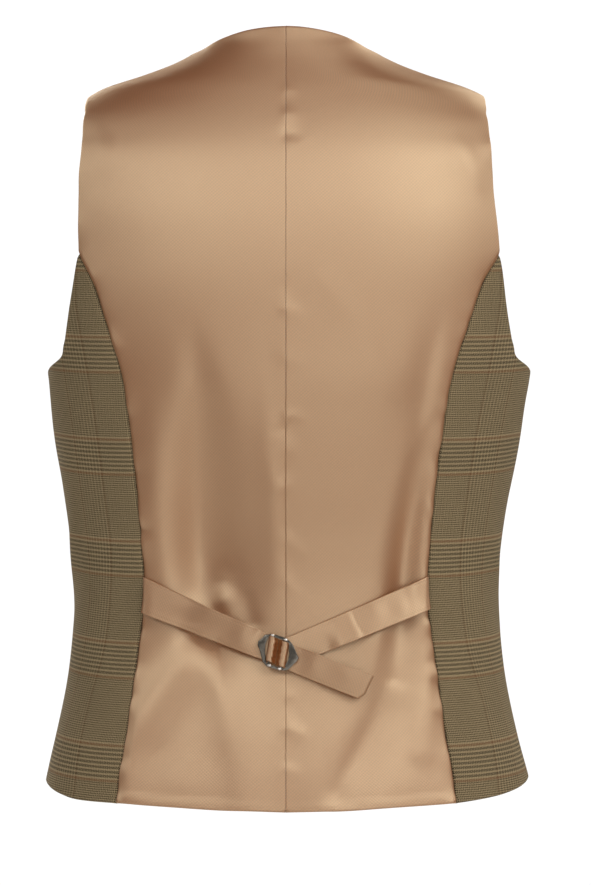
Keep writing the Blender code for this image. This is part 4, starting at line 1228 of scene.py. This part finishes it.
def wool():
    """Glen check: threads counted off in warp and weft and crossed in a two and two twill."""
    look = Finish("glen_check", Roughness=0.86, Specular_IOR_Level=0.12, Sheen_Weight=0.08,
                  Sheen_Roughness=0.50, Sheen_Tint=(0.60, 0.46, 0.28, 1.0))
    threads = []
    for place in look.uv("cloth"):
        number = look.math("FLOOR", place / THREAD_PITCH)
        within = number % REPEAT_THREADS
        in_band = within < BAND_THREADS - 0.5
        line_dark = in_band * (within % LINE_THREADS < DARK_THREADS - 0.5)
        dark = line_dark + (1.0 - in_band) * (within % GROUND_THREADS < GROUND_DARK_THREADS - 0.5)
        # the first and last of a band's nine lines are rust
        line = look.math("FLOOR", within / LINE_THREADS)
        outer_line = look.math("GREATER_THAN", look.math("ABSOLUTE", line - MIDDLE_LINE), MIDDLE_LINE - 0.5)
        threads.append((number, dark, line_dark * outer_line))
    (warp, warp_dark, warp_rust), (weft, weft_dark, weft_rust) = threads
    step = (warp + weft) % TWILL_THREADS
    warp_shows = step < TWILL_THREADS / 2 - 0.5
    dark = weft_dark + warp_shows * (warp_dark * 0.45 - weft_dark)
    rust = weft_rust + warp_shows * (warp_rust * 0.3 - weft_rust)
    fleck = look.noise(900.0, 3.0, 0.7)
    light = look.mix(fleck, (0.242, 0.178, 0.093), (0.418, 0.314, 0.176))
    deep = look.mix(fleck, (0.006, 0.004, 0.002), (0.022, 0.013, 0.006))
    colour = look.mix(rust, look.mix(dark, light, deep), (0.130, 0.046, 0.018))
    cloud = look.ramp(look.noise(30.0, 3.0, 0.6), 0.3, 0.7)
    colour = look.mix(cloud * 0.10, colour, (0.10, 0.075, 0.042))
    stitch = stitches(look, (0.0004, 0.0012), (-0.3, 0.4))
    colour = look.mix(stitch * 0.8, colour, (0.010, 0.006, 0.003))
    normal = look.bump(step * 0.25, 0.00006, 0.5)
    normal = look.bump(look.noise(2600.0, 2.0, 0.7), 0.00010, 0.5, normal)
    return look.set(Base_Color=colour, Normal=normal)


def gunmetal():
    """Dark plating, polished bright where it is touched and faintly brushed."""
    look = Finish("dark_plating", Metallic=0.92, Specular_IOR_Level=0.6)
    brushed = look.noise(420.0, 3.0, 0.6, (1.0, 1.0, 0.12))
    worn = look.ramp(look.noise(160.0, 4.0, 0.65), 0.45, 0.75)
    colour = look.mix(worn, (0.120, 0.106, 0.087), (0.240, 0.215, 0.180))
    return look.set(Base_Color=colour, Roughness=look.spread(brushed, 0.15, 0.34),
                    Normal=look.bump(brushed, 0.00003, 0.4))


def polished_metal():
    """The knuckles at the ends of the buckle's bars, rubbed bright."""
    look = Finish("polished_knuckles", Metallic=1.0, Specular_IOR_Level=0.6, Roughness=0.28)
    tarnish = look.ramp(look.noise(500.0, 3.0), 0.35, 0.7)
    return look.set(Base_Color=look.mix(tarnish, (0.62, 0.59, 0.54), (0.85, 0.82, 0.77)))


def horn():
    """Dark brown horn with paler streaks."""
    look = Finish("brown_horn", Specular_IOR_Level=0.55, Coat_Weight=0.15, Coat_Roughness=0.15)
    streak = look.ramp(look.noise(260.0, 4.0, 0.6, (1.0, 0.4, 0.25)), 0.42, 0.70)
    colour = look.mix(streak, (0.030, 0.018, 0.010), (0.135, 0.078, 0.038))
    return look.set(Base_Color=colour, Roughness=look.spread(look.noise(90.0, 2.0), 0.24, 0.42),
                    Normal=look.bump(streak, 0.00003, 0.3))


def thread():
    """Twisted sewing thread."""
    look = Finish("sewing_thread", Roughness=0.7, Specular_IOR_Level=0.4, Sheen_Weight=0.2)
    twist = look.noise(1800.0, 2.0, 0.6, (1.0, 1.0, 0.5))
    colour = look.mix(twist, (0.055, 0.036, 0.018), (0.150, 0.105, 0.058))
    return look.set(Base_Color=colour, Normal=look.bump(twist, 0.0001, 0.6))


# Stage, camera and lights

CAMERA_PLACE = (-0.0069, 3.4, -0.267)
CAMERA_LENS = 189.5
FLOOR_HEIGHT, FLOOR_RADIUS = -0.700, 1.10
LIGHT_AIM, LIGHT_DISTANCE = (0.0, 0.10, -0.20), 3.0
SOFTBOX_SIZE = (1.50, 1.00)
ROOM_LIGHT, ROOM_SEEN = 0.03, 1.05
# Degrees round from the centre back towards the wearer's right, degrees up, and watts
SOFTBOXES = (
    ("key", 50, 26, 25.5),
    ("key_middle", 25, 27, 7.5),
    ("key_high", 25, 45, 8.0),
    ("top", 60, 70, 11.0),
    ("left_high", -45, 26, 9.0),
    ("left_middle", -22, 26, 15.0),
    ("left_side", -75, 15, 6.0),
    ("left_edge", -105, 20, 12.0),
    ("right_edge", 112, 18, 14.0),
    ("middle", 0, -5, 8.0),
    ("middle_low", 0, -25, 8.0),
    ("level_right", 28, -5, 11.0),
    ("low_right", 28, -25, 2.5),
    ("front_side", 205, 20, 52.0),
    ("front_other_side", 150, 30, 30.0),
)


def stage():
    """A round pale floor under the hanging waistcoat, in an even white room."""
    form = bmesh.new()
    bmesh.ops.create_circle(form, cap_ends=True, segments=160, radius=FLOOR_RADIUS,
                            matrix=Matrix.Translation((0.0, 0.0, FLOOR_HEIGHT)))
    mesh = meshed(form, "floor")
    mesh.materials.append(Finish("floor", Roughness=0.8, Base_Color=(0.80, 0.80, 0.79, 1.0)).material)
    floor = placed("floor", mesh)


def room():
    """Pale light from all round; the eye sees it as plain white."""
    world = bpy.data.worlds.new("room")
    world.use_nodes = True
    tree = world.node_tree
    tree.nodes.clear()
    output = tree.nodes.new("ShaderNodeOutputWorld")
    seen, light = (tree.nodes.new("ShaderNodeBackground") for _ in range(2))
    seen.inputs["Color"].default_value = (1.0, 1.0, 1.0, 1.0)
    seen.inputs["Strength"].default_value = ROOM_SEEN
    light.inputs["Color"].default_value = (1.0, 0.985, 0.96, 1.0)
    light.inputs["Strength"].default_value = ROOM_LIGHT
    path = tree.nodes.new("ShaderNodeLightPath")
    mix = tree.nodes.new("ShaderNodeMixShader")
    tree.links.new(path.outputs["Is Camera Ray"], mix.inputs["Fac"])
    tree.links.new(light.outputs[0], mix.inputs[1])
    tree.links.new(seen.outputs[0], mix.inputs[2])
    tree.links.new(mix.outputs[0], output.inputs["Surface"])
    bpy.context.scene.world = world


def softbox(name, azimuth, elevation, power):
    """A soft light aimed at the waistcoat, placed round it by angles in degrees."""
    around, up = math.radians(azimuth), math.radians(elevation)
    away = Vector((-math.sin(around) * math.cos(up), math.cos(around) * math.cos(up), math.sin(up)))
    light = bpy.data.lights.new(name, "AREA")
    light.shape = "RECTANGLE"
    light.size, light.size_y = SOFTBOX_SIZE
    light.energy = power
    lamp = placed(name, light)
    lamp.location = Vector(LIGHT_AIM) + away * LIGHT_DISTANCE
    lamp.rotation_euler = (-away).to_track_quat("-Z", "Y").to_euler()


def camera():
    data = bpy.data.cameras.new("camera")
    data.lens, data.sensor_width = CAMERA_LENS, 36.0
    thing = placed("camera", data)
    thing.location = CAMERA_PLACE
    thing.rotation_euler = (math.pi / 2, 0.0, math.pi)
    bpy.context.scene.camera = thing


camera()
stage()
room()
for name, azimuth, elevation, power in SOFTBOXES:
    softbox(name, azimuth, elevation, power)
bpy.context.scene.view_settings.view_transform = "Standard"

satin_look, wool_look, thread_look = satin("bronze_satin", 1.0), wool(), thread()
# the left strap and its tail wear a darker copy of the same satin: painted shade, not a different cloth
shaded_strap_satin = satin("shaded_strap_satin", STRAP_PAINTED_SHADE)
for side, word in ((1, "left"), (-1, "right")):
    lay_panel(
        f"back_{word}", "satin", back_curves(), BACK_STEP, side, ("centre", "side", "shoulder"),
        back_relief, satin_cloth, satin_look)
    lay_panel(
        f"front_{word}", "wool", front_curves(LEFT_HEM_DROP if side == 1 else 0.0), FRONT_STEP, side,
        ("side", "shoulder"), front_relief, wool_cloth, wool_look)
left_strap(shaded_strap_satin)
right_strap(satin_look)
buckle(gunmetal(), polished_metal())
buttons(horn(), thread_look)
buttonholes(thread_look)
